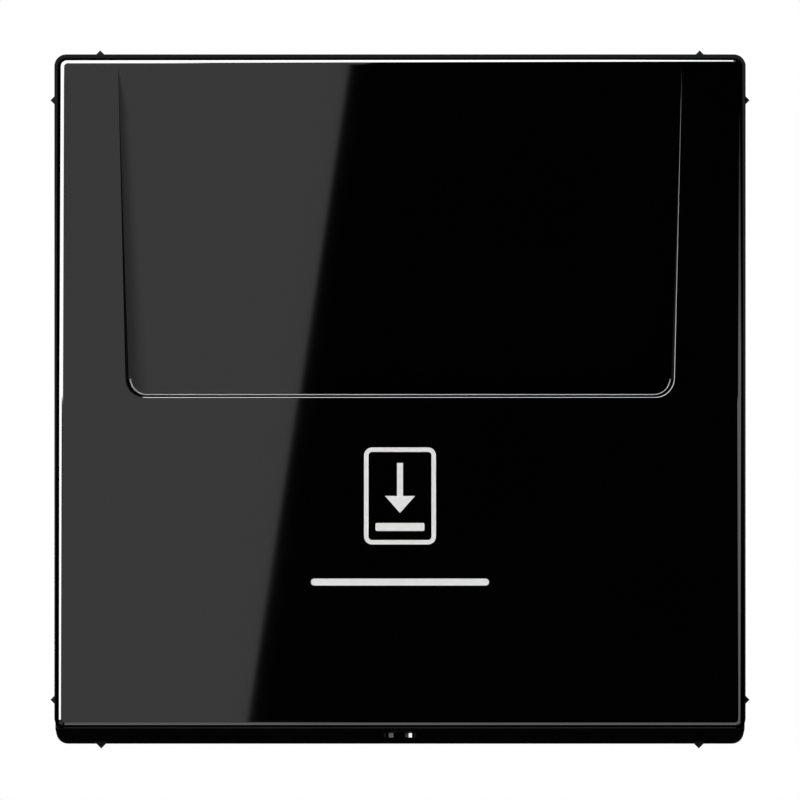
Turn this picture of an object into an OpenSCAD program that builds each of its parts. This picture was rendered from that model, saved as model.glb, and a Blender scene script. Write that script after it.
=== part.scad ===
// Hotel key card switch: a glossy wall plate with a card slot, clipped to a flush push-button insert.
// Inside the modules x runs to the right, y up and z out of the wall, and z = 0 is the wall plane.
// on_wall() turns that into the part's own frame: +Z up, the front looking along -Y.

/* [Cover] */
// Width of the plate across its side walls
plate_w = 70; // [69:0.5:78]
// Height of the plate from its top edge to the foot of the carrier
plate_h = 70; // [69:0.5:76]
// How far the carrier's foot shows below the cover
foot_drop = 1.6; // [1:0.1:2.4]
// Outer corner radius of the plate
corner_r = 1.2; // [1:0.1:3]
// Wall thickness of the cover
cover_wall = 1.5; // [1.2:0.1:1.8]
// Height of the cover's front edge over its rear edge, at the top
top_rise = 3; // [2.6:0.1:5]
// Angle by which the front face leans out towards its foot
face_tilt = 5.1; // [4.6:0.1:6.5]
// How far the side walls lean in over their height
side_draft = 0.7; // [0.3:0.05:0.8]
// Radius of the edge around the front face
edge_round = 0.5; // [0.2:0.05:0.7]

/* [Card path] */
// Width of the key card
card_w = 54; // [50:0.5:56]
// Play between the card and each side of the slot
side_play = 0.4; // [0.3:0.05:1]
// How much wider the pocket is at its top, on each side
funnel_flare = 1; // [0.4:0.05:1.4]
// Distance from the top edge to where the card ramp starts
ramp_start = 1.5; // [1.2:0.1:3]
// Height of the slot's lip over the middle of the plate
lip_y = 0.3; // [-1:0.1:2]
// Gap between the ramp's lower edge and the lip, seen from the front
slot_gap = 0.35; // [0.2:0.05:0.6]
// Corner radius of the pocket
pocket_r = 1.9; // [1.2:0.1:3]
// Thickness of the stop that ends the card's way in
stop_t = 1.05; // [0.9:0.05:1.5]
// Clear depth for the card between the platform and the guide ribs
card_room = 1.25; // [1:0.05:1.4]

/* [Carrier] */
// Distance of the seam between cover and carrier from the wall
seam_z = 5.6; // [5.4:0.1:7]
// Distance of the carrier's rear edge from the wall
skirt_z = 2.2; // [1.6:0.1:2.6]
// Wall thickness of the carrier's skirt
skirt_wall = 1.5; // [1.2:0.1:2]
// Thickness of the carrier's plate
carrier_plate = 1.2; // [1:0.1:1.4]
// Thickness of the platform behind the card
platform_t = 1.4; // [1.2:0.1:1.6]
// Height of the rim that locates the cover on the carrier
spigot_h = 1.2; // [1:0.1:1.4]
// Wall thickness of that rim
spigot_wall = 1.2; // [0.8:0.1:1.6]
// Distance between the two centring nubs on each side
nub_pitch = 60.8; // [50:0.2:62]
// How far a centring nub stands out
nub_h = 0.56; // [0.3:0.02:0.8]
// Length of a centring nub, out of the wall
nub_l = 2.4; // [1.5:0.1:3]

/* [Card lever] */
// Diameter of the lever's pivot pins
lever_pin_d = 1.5; // [1.2:0.1:1.8]
// Diameter of the lever's hubs
lever_hub_d = 3.2; // [2.8:0.1:3.4]
// Distance from the card stop up to the lever's pivot
lever_pivot_up = 2.5; // [2.2:0.1:3]
// Distance from the pivot up to the nose
nose_arm = 13; // [12:0.5:14]
// How far the nose stands into the card's path
nose_h = 1.1; // [0.9:0.05:1.2]
// Width of the nose
nose_w = 9; // [6:0.5:12]
// Thickness of the lever
lever_t = 1.8; // [1.4:0.1:2]
// Inner distance between the lever's two legs
fork_gap = 13.2; // [12.6:0.2:16]
// Width of each lever leg
fork_leg = 3; // [2:0.1:4]

/* [Support ring] */
// Width and height of the steel support ring
ring_w = 68; // [66:0.5:68.5]
// Thickness of the ring's steel
ring_t = 1.2; // [1:0.1:1.2]
// Corner radius of the ring
ring_r = 12; // [6:0.5:16]
// Distance between the two box screws
box_pitch = 60; // [59:0.5:60.5]
// Width of the box screw slots
box_slot_w = 3.6; // [3.2:0.1:4.2]
// Length of the box screw slots
box_slot_l = 5; // [4.4:0.1:5.2]
// Diameter of the rivets that hold the insert in the ring
rivet_d = 2.4; // [2:0.1:3]

/* [Insert body] */
// Width of the insert's body
body_w = 42; // [41:0.5:44]
// Height of the insert's body
body_h = 48; // [47:0.5:49]
// Corner radius of the insert's body
body_r = 10; // [8:0.5:11]
// Wall thickness of the insert's body
body_wall = 1.6; // [1.2:0.1:2]
// Depth of the housing behind the tray
housing_depth = 19.1; // [18.5:0.1:22]
// Thickness of the rear terminal cover
rear_t = 3.5; // [3:0.1:4.5]
// How far the tray's flange stands out beside the body
flange_side = 5; // [4.5:0.1:5.5]
// How far the tray's flange stands out above and below the body
flange_end = 2; // [1.5:0.1:3]
// Thickness of the tray's flange
flange_t = 1.2; // [1.1:0.1:1.4]
// Thickness of the tray's floor and walls
tray_wall = 1.4; // [1.2:0.1:1.6]
// Diameter of the housing screws
screw_d = 2; // [1.6:0.1:2.4]

/* [Switch] */
// Distance of the rocker's front face from the wall
rocker_z = 3.6; // [3.5:0.05:3.7]
// Thickness of the rocker's plate
rocker_t = 1.6; // [1.2:0.1:1.8]
// Width of the rocker
rocker_w = 25; // [20:0.5:25.5]
// Distance of the rocker's pivot from the upper end of the body
rocker_pivot_down = 12; // [11:0.5:13]
// Diameter of the rocker's pivot stubs
stub_d = 2.4; // [2:0.1:2.6]
// Distance of the rocker's finger from the lower end of the body
finger_up = 13; // [12.5:0.5:14]
// Height of the contact arm's pivot over the middle
arm_pivot_y = 4; // [3:0.5:5]
// Diameter of the contact arm's pivot pin
arm_pin_d = 1.5; // [1.2:0.1:1.8]
// Width of the contact arm
arm_w = 5; // [4:0.2:5.4]
// Thickness of the contact arm and the terminal strips
strip_t = 0.8; // [0.6:0.05:1]
// Distance of the contacts from the lower end of the body
contact_up = 10.5; // [10:0.1:11]
// Diameter of the contact rivets
contact_d = 3; // [2.4:0.1:3.2]
// Gap between the open contacts
contact_gap = 1.35; // [1.3:0.05:2]
// Mean diameter of the return springs
spring_d = 4; // [3.4:0.1:4.4]
// Wire diameter of the return springs
spring_wire = 0.5; // [0.4:0.05:0.7]
// Number of turns in each return spring
spring_turns = 7; // [4:1:9]

/* [Terminals and lamp] */
// Diameter of the wire holes
wire_hole_d = 3; // [2.4:0.1:3.2]
// Width of a terminal's strip
cage_w = 6; // [5:0.2:6.4]
// Travel of a release key
key_travel = 1.2; // [0.8:0.1:1.2]
// How far a release key still stands out of the rear when it is pressed
key_rest = 0.4; // [0.2:0.1:1]
// Diameter of the lamp's dome
led_d = 3; // [2.6:0.1:3]
// Width of the light guide's outlet
guide_w = 3.2; // [2.4:0.1:4]
// Thickness of the light guide
guide_t = 1.3; // [1:0.1:1.5]

/* [Hidden] */
$fn = 48;
// Thin layer that carries an outline into a hull
skin = 0.01;
// Reach of a cut that has to pass right through
far = 60;
// Gap between a piece and the seat that locates it
fit_gap = 0.15;
// Radial play of a pin in the hole that holds it
pin_play = 0.02;
// Radial play of a hole that turns on its pin
turn_play = 0.05;
// Play around a piece that slides
slide_play = 0.15;
// Clear room beside a piece that moves
move_room = 0.3;

cover_top = plate_h / 2;
cover_h = plate_h - foot_drop;
cover_bottom = cover_top - cover_h;
cover_mid = (cover_top + cover_bottom) / 2;
slope_h = cover_h / cos(face_tilt);
cavity_in = cover_wall + side_draft;
cavity_r = 0.5;

ramp_top = cover_top - ramp_start;
ramp_z = front_z(ramp_top);
slot_half = card_w / 2 + side_play;
pocket_over = 5;
pocket_far = cover_top + pocket_over;
pocket_turn_y = lip_y + pocket_r;
platform_low = cover_bottom + cavity_in + fit_gap;
card_stop_y = platform_low + stop_t;
// The platform lies a little behind the ramp, so that a card can't catch on its edge
platform_step = 0.12;
channel_z = ramp_z - platform_step;
platform_back = channel_z - platform_t;
platform_side_gap = 0.25;
platform_half = slot_half - platform_side_gap;
platform_top_gap = 0.6;
platform_top = lip_y - platform_top_gap;
platform_wall = 1.2;
stop_half = 20;
rib_t = 1;
rib_places = [16, 24];
rib_stop_gap = 0.5;
rib_lip_gap = 2;

// The carrier's skirt stands a little inside the cover's outline
skirt_step = 0.1;
// The nubs at the foot are short, so that its slope stays plain
foot_nub_l = 0.5;
plate_back = seam_z - carrier_plate;
foot_lean = atan((foot_drop + skirt_step) / (seam_z - skirt_z));
spigot_w = plate_w - 2 * (cavity_in + fit_gap);
spigot_hh = cover_h - 2 * (cavity_in + fit_gap);
bead_r = 0.4;
bead_l = 10;
bead_place = 18;
bead_z = seam_z + spigot_h / 2;

lever_pivot_y = card_stop_y + lever_pivot_up;
lever_pivot_z = platform_back - lever_hub_d / 2 - move_room;
lever_set = 0.1;
lever_front = lever_pivot_z + lever_hub_d / 2 - lever_set;
lever_back = lever_front - lever_t;
nose_y = lever_pivot_y + nose_arm;
nose_z = ramp_z + nose_h;
nose_flat = 2;
nose_rise = nose_z - lever_front;
nose_lead = 0.65;
window_room = 0.5;
web_up = 5;
web_down = 4.5;
web_top = nose_y + web_up;
web_bottom = nose_y - web_down;
fork_in = fork_gap / 2;
fork_out = fork_in + fork_leg;
lug_t = 1.7;
lug_wall = 1;
lug_half = lever_pin_d / 2 + lug_wall;
pad_r = 1.2;
pad_gap = 0.15;
pad_half = 4;

body_high = body_h / 2;
body_low = -body_h / 2;
ring_gap = 0.5;
flange_w = body_w + 2 * flange_side;
flange_h = body_h + 2 * flange_end;
flange_z = ring_t + flange_t;
flange_r = 8;
rivet_edge = 1;
rivet_reach = body_r + ring_gap + rivet_d / 2 + rivet_edge;
rivet_x = body_w / 2 - body_r + rivet_reach * cos(45);
rivet_y = body_high - body_r + rivet_reach * sin(45);
rivet_head_step = 0.8;
rivet_head_d = rivet_d + 2 * rivet_head_step;
rivet_head_h = 0.8;
clip_y = 9;
clip_w = 8;
clip_t = 1.5;
clip_lip = 0.5;
clip_bite = 0.8;

tray_front = -0.2;
tray_back = tray_front - tray_wall;
housing_back = tray_back - housing_depth;
rear_z = housing_back - rear_t;
screw_inset = 5.5;
screw_x = body_w / 2 - screw_inset;
screw_y = body_high - screw_inset;
boss_wall = 1;
boss_d = screw_d + 2 * boss_wall;
boss_end = 0.5;
boss_h = 2.4;
screw_head_step = 0.9;
screw_head_d = screw_d + 2 * screw_head_step;
screw_head_h = 1.5;
head_room = 0.2;
recess_w = 0.4;
recess_depth = 0.8;
recess_share = 0.64;

rocker_back = rocker_z - rocker_t;
hub_wall = 0.3;
rocker_hub_d = stub_d + 2 * hub_wall;
hub_l = 2;
rocker_pivot_z = tray_front + rocker_hub_d / 2 + move_room;
rocker_over = 3;
rocker_pivot_y = body_high - rocker_pivot_down;
rocker_top = rocker_pivot_y + rocker_over;
rocker_end_gap = 3.5;
rocker_bottom = body_low + rocker_end_gap;
bearing_t = 1.8;
finger_y = body_low + finger_up;
finger_w = 3.6;
finger_l = 2.2;
arm_pivot_z = -5.8;
arm_top = arm_pivot_z + strip_t / 2;
arm_bottom = arm_top - strip_t;
knuckle_wall = 0.65;
arm_knuckle_d = arm_pin_d + 2 * knuckle_wall;
contact_y = body_low + contact_up;
arm_over = 0.5;
arm_end = contact_y - contact_d / 2 - arm_over;
finger_gap = 0.2;
finger_room = 0.8;
contact_h = 0.8;
contact_shank_d = 1.6;
strip_top = arm_bottom - 2 * contact_h - contact_gap;
shelf_top = strip_top - strip_t;
shelf_t = 1.35;
shelf_back = shelf_top - shelf_t;
ear_in = arm_w / 2 + move_room;
ear_out = ear_in + strip_t;
ear_wall = 0.3;
ear_half = arm_knuckle_d / 2 + ear_wall;
pin_end = 0.4;
contact_strip = 1.4;
contact_over = 2;
spring_x = 6.5;
spring_up = 6.5;
spring_y = body_low + spring_up;
spring_seat_gap = 0.05;
spring_boss_h = 1;

wire_r = wire_hole_d / 2;
wire_side = 12;
wire_up = 15;
wire_down = 12;
line_at = [0, body_high - wire_down];
load_at = [wire_side, body_low + wire_up];
neutral_at = [-wire_side, body_low + wire_up];
// The conductor is pressed against a wall of the terminal on its upper side
wire_room = 0.1;
cage_wall_y = wire_r + wire_room;
cage_lift = 1;
cage_end = housing_back + cage_lift;
key_gap = 1.5;
key_t = 2.2;
key_to = -wire_r - key_gap;
key_from = key_to - key_t;
key_w = 4;
key_proud = key_travel + key_rest;
key_tip_drop = 2.9;
key_tip = shelf_back - key_tip_drop;
key_shoulder = 0.6;
key_shoulder_h = 1.7;
leaf_t = 0.4;
leaf_w = 5;
leaf_gap = 1.4;
leaf_anchor = key_from - leaf_gap;
leaf_bend = 1;
leaf_bend_drop = 1.4;
leaf_tip_drop = 5.6;
leaf_foot = 0.3;
rib_gap = 0.1;
rib_depth = 1;

guide_under = 1.32;
guide_z = seam_z - guide_under;
guide_lap = 0.4;
guide_start = card_stop_y + guide_lap;
guide_proud = 0.12;
guide_play = 0.05;
led_gap = 0.4;
led_tip = guide_start + led_gap;
led_body = 2.6;
led_flange_step = 0.3;
led_flange_d = led_d + 2 * led_flange_step;
led_flange_t = 1;
led_base = led_tip + led_d / 2 + led_body;
holder_half = 3.4;
holder_gap = 0.4;
holder_front = guide_z + led_d / 2 + holder_gap;
holder_top = rocker_bottom - holder_gap;
holder_foot = 1.2;
holder_wall = 2;
holder_back = min(led_base + holder_wall, holder_top);
lead_x = 2.2;
lead_d = 0.6;
lead_in = 0.7;
lead_y = holder_top - lead_in;
lead_up = 0.6;
lead_top = flange_z + lead_up;
tab_half = 1;
tab_low = 0.6;

COVER_BLACK = "#0b0b0c";
CARRIER_BLACK = "#151516";
LEVER_GREY = "#3c3d40";
STEEL = "#b9bcc0";
INSERT_WHITE = "#dcdcd6";
INSERT_GREY = "#8f9396";
COPPER = "#b8734a";
SILVER = "#d6d6d2";
SPRING_STEEL = "#9a9ca0";
KEY_ORANGE = "#d9772b";
CLEAR = "#dfe8ea";

// Distance of the front face from the wall at a height
function front_z(y) = seam_z + top_rise + (cover_top - y) * tan(face_tilt);

// Half the pocket's width at a height
function pocket_half(y) = slot_half + funnel_flare * (y - lip_y) / (ramp_top - lip_y);

// Points along an arc
function arc(x, y, r, from, to, steps = 8) =
    [for (i = [0:steps]) let (a = from + (to - from) * i / steps) [x + r * cos(a), y + r * sin(a)]];

// Outline of the card pocket, open past the top edge, drawn in by inset
function pocket_outline(inset) = let (
    r = pocket_r - inset,
    x = pocket_half(pocket_turn_y) - pocket_r,
    top = pocket_half(pocket_far) - inset
) concat(
    [[top, pocket_far]],
    arc(x, pocket_turn_y, r, 0, -90),
    arc(-x, pocket_turn_y, r, -90, -180),
    [[-top, pocket_far]]
);

function unit(v) = v / norm(v);
function left_of(v) = [-v[1], v[0]];

// Outline of a strip of thickness t that follows the points p
function ribbon(p, t) = let (
    last = len(p) - 1,
    way = [for (i = [0:last - 1]) unit(p[i + 1] - p[i])],
    side = [for (i = [0:last]) let (
        before = left_of(way[max(i - 1, 0)]),
        after = left_of(way[min(i, last - 1)]),
        mean = unit(before + after)
    ) mean * t / 2 / (mean * before)]
) concat(
    [for (i = [0:last]) p[i] + side[i]],
    [for (i = [last:-1:0]) p[i] - side[i]]
);

// Centre line of a return spring, and the tube around it
spring_steps = 8;
spring_sides = 6;
spring_low = shelf_top + spring_wire / 2 + spring_seat_gap;
spring_high = rocker_back - spring_wire / 2 - spring_seat_gap;
spring_line = [for (i = [0:spring_turns * spring_steps]) let (
    a = 360 * i / spring_steps,
    share = i / (spring_turns * spring_steps)
) [spring_d / 2 * cos(a), spring_d / 2 * sin(a), spring_low + (spring_high - spring_low) * share]];
spring_points = [for (p = spring_line, k = [0:spring_sides - 1]) let (
    out = unit([p[0], p[1], 0]),
    b = 360 * k / spring_sides
) p + spring_wire / 2 * (out * cos(b) + [0, 0, sin(b)])];
function spring_quad(i, k) = let (
    a = i * spring_sides + k,
    b = i * spring_sides + (k + 1) % spring_sides
) [[a, b, b + spring_sides], [a, b + spring_sides, a + spring_sides]];
spring_faces = concat(
    [for (i = [0:len(spring_line) - 2], k = [0:spring_sides - 1]) each spring_quad(i, k)],
    [for (k = [1:spring_sides - 2]) [0, k + 1, k]],
    [let (e = (len(spring_line) - 1) * spring_sides) for (k = [1:spring_sides - 2]) [e, e + k, e + k + 1]]
);
spring_gap = min([for (
    i = [0:len(spring_line) - 1],
    j = [i + spring_steps / 2:1:len(spring_line) - 1]
) norm(spring_line[i] - spring_line[j])]) - spring_wire;
echo(str("least gap between the turns of a return spring: ", spring_gap, " mm"));

// Turns the wall coordinates of the modules into the part's frame
module on_wall() rotate([90, 0, 0]) children();

// Lays a drawing on the leaning front face, with its top edge on the x axis
module on_front() translate([0, cover_top, seam_z + top_rise]) rotate([-face_tilt, 0, 0]) children();

module layer(z0, z1) translate([0, 0, z0]) linear_extrude(z1 - z0) children();

module block(x0, x1, y0, y1, z0, z1) translate([x0, y0, z0]) cube([x1 - x0, y1 - y0, z1 - z0]);

module rod_x(x0, x1, y, z, d) translate([x0, y, z]) rotate([0, 90, 0]) cylinder(h = x1 - x0, d = d);

module rod_y(x, y0, y1, z, d) translate([x, y0, z]) rotate([-90, 0, 0]) cylinder(h = y1 - y0, d = d);

module rod_z(x, y, z0, z1, d) translate([x, y, z0]) cylinder(h = z1 - z0, d = d);

// Extrudes an outline drawn in y and z along x
module side_profile(x0, x1) translate([x0, 0, 0]) rotate([90, 0, 90]) linear_extrude(x1 - x0) children();

module mirrored_x() {
    children();
    mirror([1, 0, 0]) children();
}

module mirrored_y() {
    children();
    mirror([0, 1, 0]) children();
}

module rounded(w, h, r) {
    square([w - 2 * r, h], center = true);
    square([w, h - 2 * r], center = true);
    for (x = [-1, 1], y = [-1, 1]) translate([x * (w / 2 - r), y * (h / 2 - r)]) circle(r);
}

// Takes away what stands less than depth below the front face
module below_front(depth) difference() {
    children();
    on_front() block(-far, far, -2 * far, far, -depth, far);
}

// Front cover

module cover_outside() hull() {
    translate([0, cover_mid, seam_z]) linear_extrude(skin) rounded(plate_w, cover_h, corner_r, $fn = 32);
    for (a = [0:30:90]) let (inset = side_draft + edge_round * (1 - cos(a)))
        on_front() translate([0, -slope_h / 2, -edge_round * (1 - sin(a)) - skin]) linear_extrude(skin)
            rounded(plate_w - 2 * inset, slope_h - 2 * inset, max(corner_r - inset, 0.1), $fn = 32);
}

module cover_cavity() below_front(cover_wall)
    translate([0, cover_mid, seam_z - 1]) linear_extrude(far)
        rounded(plate_w - 2 * cavity_in, cover_h - 2 * cavity_in, cavity_r);

module pocket_space() layer(ramp_z, far) polygon(pocket_outline(0));

module card_ramp() {
    layer(ramp_z - cover_wall, ramp_z) polygon(pocket_outline(slot_gap));
    difference() {
        layer(ramp_z - cover_wall, far) intersection() {
            polygon(pocket_outline(-cover_wall));
            translate([-far, pocket_turn_y]) square([2 * far, far]);
        }
        pocket_space();
    }
}

// Rails beside the card below the lip, and ribs that keep it close to the platform
module card_rails() mirrored_x() {
    rail = pocket_half(pocket_turn_y);
    block(rail, rail + cover_wall, card_stop_y, pocket_turn_y, channel_z + fit_gap, far);
    for (x = rib_places)
        block(x - rib_t / 2, x + rib_t / 2, card_stop_y + rib_stop_gap, lip_y - rib_lip_gap,
            channel_z + card_room, far);
}

// Snap beads around the rim, also used to cut their grooves
module beads(grow) translate([0, cover_mid, 0]) {
    mirrored_x() for (y = [-bead_place, bead_place])
        rod_y(spigot_w / 2, y - bead_l / 2 - grow, y + bead_l / 2 + grow, bead_z, 2 * (bead_r + grow));
    mirrored_y() for (x = [-bead_place, bead_place])
        rod_x(x - bead_l / 2 - grow, x + bead_l / 2 + grow, spigot_hh / 2, bead_z, 2 * (bead_r + grow));
}

module front_cover() color(COVER_BLACK) difference() {
    union() {
        difference() {
            cover_outside();
            cover_cavity();
            pocket_space();
        }
        below_front(cover_wall / 2) intersection() {
            translate([0, cover_mid, seam_z]) linear_extrude(far)
                square([plate_w - 2 * cover_wall, cover_h - 2 * cover_wall], center = true);
            union() {
                card_ramp();
                card_rails();
            }
        }
    }
    beads(fit_gap);
}

// Carrier behind the cover

module skirt_hull(inset, z_rear, z_front) hull() {
    w = plate_w - 2 * skirt_step - 2 * inset;
    h = cover_h - 2 * skirt_step - 2 * inset;
    translate([0, 0, z_rear]) linear_extrude(skin)
        rounded(plate_w - 2 * inset, plate_h - 2 * inset, corner_r, $fn = 32);
    translate([0, cover_mid, z_front - skin]) linear_extrude(skin) rounded(w, h, corner_r, $fn = 32);
    // The foot's corners are square at the seam
    translate([-w / 2, cover_mid - h / 2, z_front - skin]) cube([w, corner_r, skin]);
}

module nub(l) translate([0, 0, skirt_z]) linear_extrude(l) let (root = skirt_wall / 2)
    polygon([[-nub_h - root, -root], [0, nub_h], [nub_h + root, -root]]);

module nubs() for (side = [0:3]) rotate([0, 0, 90 * side])
    for (place = [-nub_pitch / 2, nub_pitch / 2]) {
        reach = (side % 2 == 0) ? plate_h / 2 : plate_w / 2;
        translate([place, reach - skirt_step, 0]) nub((side == 2) ? foot_nub_l : nub_l);
    }

// Legs that snap under the edge of the tray's flange, rooted at a height
module clip_legs(root) mirrored_x() mirrored_y() {
    leg = flange_w / 2 + slide_play;
    low = clip_y - clip_w / 2;
    high = clip_y + clip_w / 2;
    block(leg, leg + clip_t, low, high, ring_t + slide_play, root + skin);
    block(flange_w / 2 - clip_bite, leg + skin, low, high,
        ring_t + slide_play, flange_z - clip_lip - slide_play);
}

module pivot_lugs() mirrored_x() for (x = [fork_in - move_room - lug_t, fork_out + move_room])
    block(x, x + lug_t, lever_pivot_y - lug_half, lever_pivot_y + lug_half,
        lever_pivot_z - lug_half, channel_z - skin);

module guide_bar(grow) translate([0, guide_start, guide_z]) rotate([-90, 0, 0]) mirror([0, 0, 1])
    linear_extrude(cover_top + guide_start + foot_drop)
        rounded(guide_w + 2 * grow, guide_t + 2 * grow, guide_t / 2 + grow - skin);

module carrier() color(CARRIER_BLACK) difference() {
    union() {
        difference() {
            skirt_hull(0, skirt_z, seam_z);
            skirt_hull(skirt_wall, skirt_z - skin, plate_back);
        }
        translate([0, cover_mid, seam_z - skin]) linear_extrude(spigot_h + skin) difference() {
            rounded(spigot_w, spigot_hh, cavity_r);
            square([spigot_w - 2 * spigot_wall, spigot_hh - 2 * spigot_wall], center = true);
        }
        beads(0);
        block(-platform_half, platform_half, platform_low, platform_top, plate_back, channel_z);
        block(-stop_half, stop_half, platform_low, card_stop_y, plate_back, channel_z + card_room);
        nubs();
        clip_legs(plate_back);
    }
    difference() {
        block(-platform_half + platform_wall, platform_half - platform_wall,
            card_stop_y, platform_top - platform_wall, -far, platform_back);
        pivot_lugs();
        clip_legs(platform_back);
    }
    block(-nose_w / 2 - window_room, nose_w / 2 + window_room,
        nose_y - nose_flat / 2 - nose_rise * nose_lead - move_room,
        nose_y + nose_flat / 2 + nose_rise + 2 * move_room, platform_back - 1, far);
    mirrored_x() rod_x(fork_in - move_room - lug_t - 1, fork_out + move_room + lug_t + 1,
        lever_pivot_y, lever_pivot_z, lever_pin_d + 2 * pin_play);
    guide_bar(guide_play);
}

module light_guide() color(CLEAR, 0.6) difference() {
    guide_bar(0);
    translate([0, -plate_h / 2, skirt_z]) rotate([-foot_lean, 0, 0])
        block(-far, far, -far, -guide_proud, -far, far);
}

// Card lever

module card_lever() color(LEVER_GREY) difference() {
    union() {
        mirrored_x() {
            rod_x(fork_in, fork_out, lever_pivot_y, lever_pivot_z, lever_hub_d);
            block(fork_in, fork_out, lever_pivot_y, web_top, lever_back, lever_front);
        }
        block(-fork_out, fork_out, web_bottom, web_top, lever_back, lever_front);
        side_profile(-nose_w / 2, nose_w / 2) polygon([
            [nose_y + nose_flat / 2 + nose_rise, lever_front - skin],
            [nose_y + nose_flat / 2, nose_z],
            [nose_y - nose_flat / 2, nose_z],
            [nose_y - nose_flat / 2 - nose_rise * nose_lead, lever_front - skin]
        ]);
        rod_x(-pad_half, pad_half, nose_y, rocker_z + pad_gap + pad_r, 2 * pad_r);
    }
    mirrored_x()
        rod_x(fork_in - 1, fork_out + 1, lever_pivot_y, lever_pivot_z, lever_pin_d + 2 * turn_play);
}

module lever_pins() color(STEEL) mirrored_x()
    rod_x(fork_in - move_room - lug_t, fork_out + move_room + lug_t,
        lever_pivot_y, lever_pivot_z, lever_pin_d);

// Support ring and its rivets

module support_ring() color(STEEL) layer(0, ring_t) difference() {
    rounded(ring_w, ring_w, ring_r);
    rounded(body_w + 2 * ring_gap, body_h + 2 * ring_gap, body_r + ring_gap);
    for (x = [-box_pitch / 2, box_pitch / 2]) translate([x, 0]) box_slot();
    for (x = [-rivet_x, rivet_x], y = [-rivet_y, rivet_y])
        translate([x, y]) circle(d = rivet_d + 2 * pin_play);
}

module box_slot() {
    reach = (box_slot_l - box_slot_w) / 2;
    square([2 * reach, box_slot_w], center = true);
    for (x = [-reach, reach]) translate([x, 0]) circle(d = box_slot_w);
}

module ring_rivets() color(STEEL) for (x = [-rivet_x, rivet_x], y = [-rivet_y, rivet_y]) {
    rod_z(x, y, 0, flange_z + skin, rivet_d);
    rod_z(x, y, flange_z, flange_z + rivet_head_h, rivet_head_d);
}

// Insert: tray, housing, rear cover

module body_outline(inset = 0) rounded(body_w - 2 * inset, body_h - 2 * inset, body_r - inset);

module bearing_lugs() mirrored_x() {
    x = rocker_w / 2 + move_room;
    difference() {
        union() {
            block(x, x + bearing_t, rocker_pivot_y - rocker_hub_d / 2, rocker_pivot_y + rocker_hub_d / 2,
                tray_front - skin, rocker_pivot_z);
            rod_x(x, x + bearing_t, rocker_pivot_y, rocker_pivot_z, rocker_hub_d);
        }
        rod_x(x - 1, x + bearing_t + 1, rocker_pivot_y, rocker_pivot_z, stub_d + 2 * turn_play);
    }
}

module insert_tray() color(INSERT_WHITE) {
    difference() {
        union() {
            layer(ring_t, flange_z) rounded(flange_w, flange_h, flange_r);
            layer(tray_back, flange_z) body_outline();
        }
        layer(tray_front, far) body_outline(tray_wall);
        mirrored_x() mirrored_y()
            block(flange_w / 2 - clip_bite - slide_play, far, clip_y - clip_w / 2 - slide_play,
                clip_y + clip_w / 2 + slide_play, ring_t - 1, flange_z - clip_lip);
        for (x = [-rivet_x, rivet_x], y = [-rivet_y, rivet_y])
            rod_z(x, y, ring_t - 1, far, rivet_d + 2 * pin_play);
        block(-finger_w / 2 - finger_room, finger_w / 2 + finger_room,
            finger_y - finger_l, finger_y + finger_l, tray_back - 1, tray_front + 1);
        for (x = [-spring_x, spring_x])
            rod_z(x, spring_y, tray_back - 1, tray_front + 1, spring_d + spring_wire + 2 * move_room);
        for (x = [-lead_x, lead_x])
            rod_z(x, lead_y, tray_back - 1, tray_front + 1, lead_d + 2 * slide_play);
        for (x = [-screw_x, screw_x], y = [-screw_y, screw_y])
            rod_z(x, y, tray_back - 1, tray_front + 1, screw_d + 2 * pin_play);
    }
    for (x = [-screw_x, screw_x], y = [-screw_y, screw_y]) difference() {
        rod_z(x, y, tray_front - skin, tray_front + boss_h, boss_d);
        rod_z(x, y, tray_front - 1, tray_front + boss_h - boss_end, screw_d + 2 * pin_play);
    }
    bearing_lugs();
}

// Openings in the shelf where a terminal's wall passes
module shelf_gate(at) block(at[0] - cage_w / 2 - slide_play, at[0] + cage_w / 2 + slide_play,
    at[1] + cage_wall_y - slide_play, at[1] + cage_wall_y + strip_t + slide_play,
    shelf_back - 1, shelf_top + 1);

// Rib that a clamp spring leans on
module spring_rib(at) {
    face = at[1] + leaf_anchor - leaf_t / 2 - rib_gap;
    block(at[0] - cage_w / 2, at[0] + cage_w / 2, face - rib_depth, face, cage_end, shelf_back + skin);
}

module insert_housing() color(INSERT_GREY) difference() {
    union() {
        layer(housing_back, tray_back) difference() {
            body_outline();
            body_outline(body_wall);
        }
        layer(shelf_back, shelf_top) body_outline(body_wall / 2);
        for (at = [line_at, load_at, neutral_at]) spring_rib(at);
        for (x = [-screw_x, screw_x], y = [-screw_y, screw_y]) rod_z(x, y, housing_back, tray_back, boss_d);
    }
    for (at = [line_at, load_at, neutral_at]) shelf_gate(at);
    for (x = [-screw_x, screw_x], y = [-screw_y, screw_y])
        rod_z(x, y, housing_back - 1, tray_back + 1, screw_d + 2 * fit_gap);
    rod_z(0, contact_y, shelf_back - 1, shelf_top + 1, contact_shank_d + 2 * move_room);
}

module terminal_cover() color(INSERT_GREY) difference() {
    layer(rear_z, housing_back) body_outline();
    for (at = [line_at, load_at, neutral_at]) {
        rod_z(at[0], at[1], rear_z - 1, housing_back + 1, wire_hole_d);
        block(at[0] - key_w / 2 - slide_play, at[0] + key_w / 2 + slide_play, at[1] + key_from - slide_play,
            at[1] + key_to + slide_play, rear_z - 1, housing_back + 1);
    }
    for (x = [-screw_x, screw_x], y = [-screw_y, screw_y]) {
        rod_z(x, y, rear_z - 1, housing_back + 1, screw_d + 2 * fit_gap);
        rod_z(x, y, rear_z - 1, rear_z + screw_head_h, screw_head_d + 2 * head_room);
    }
}

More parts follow.
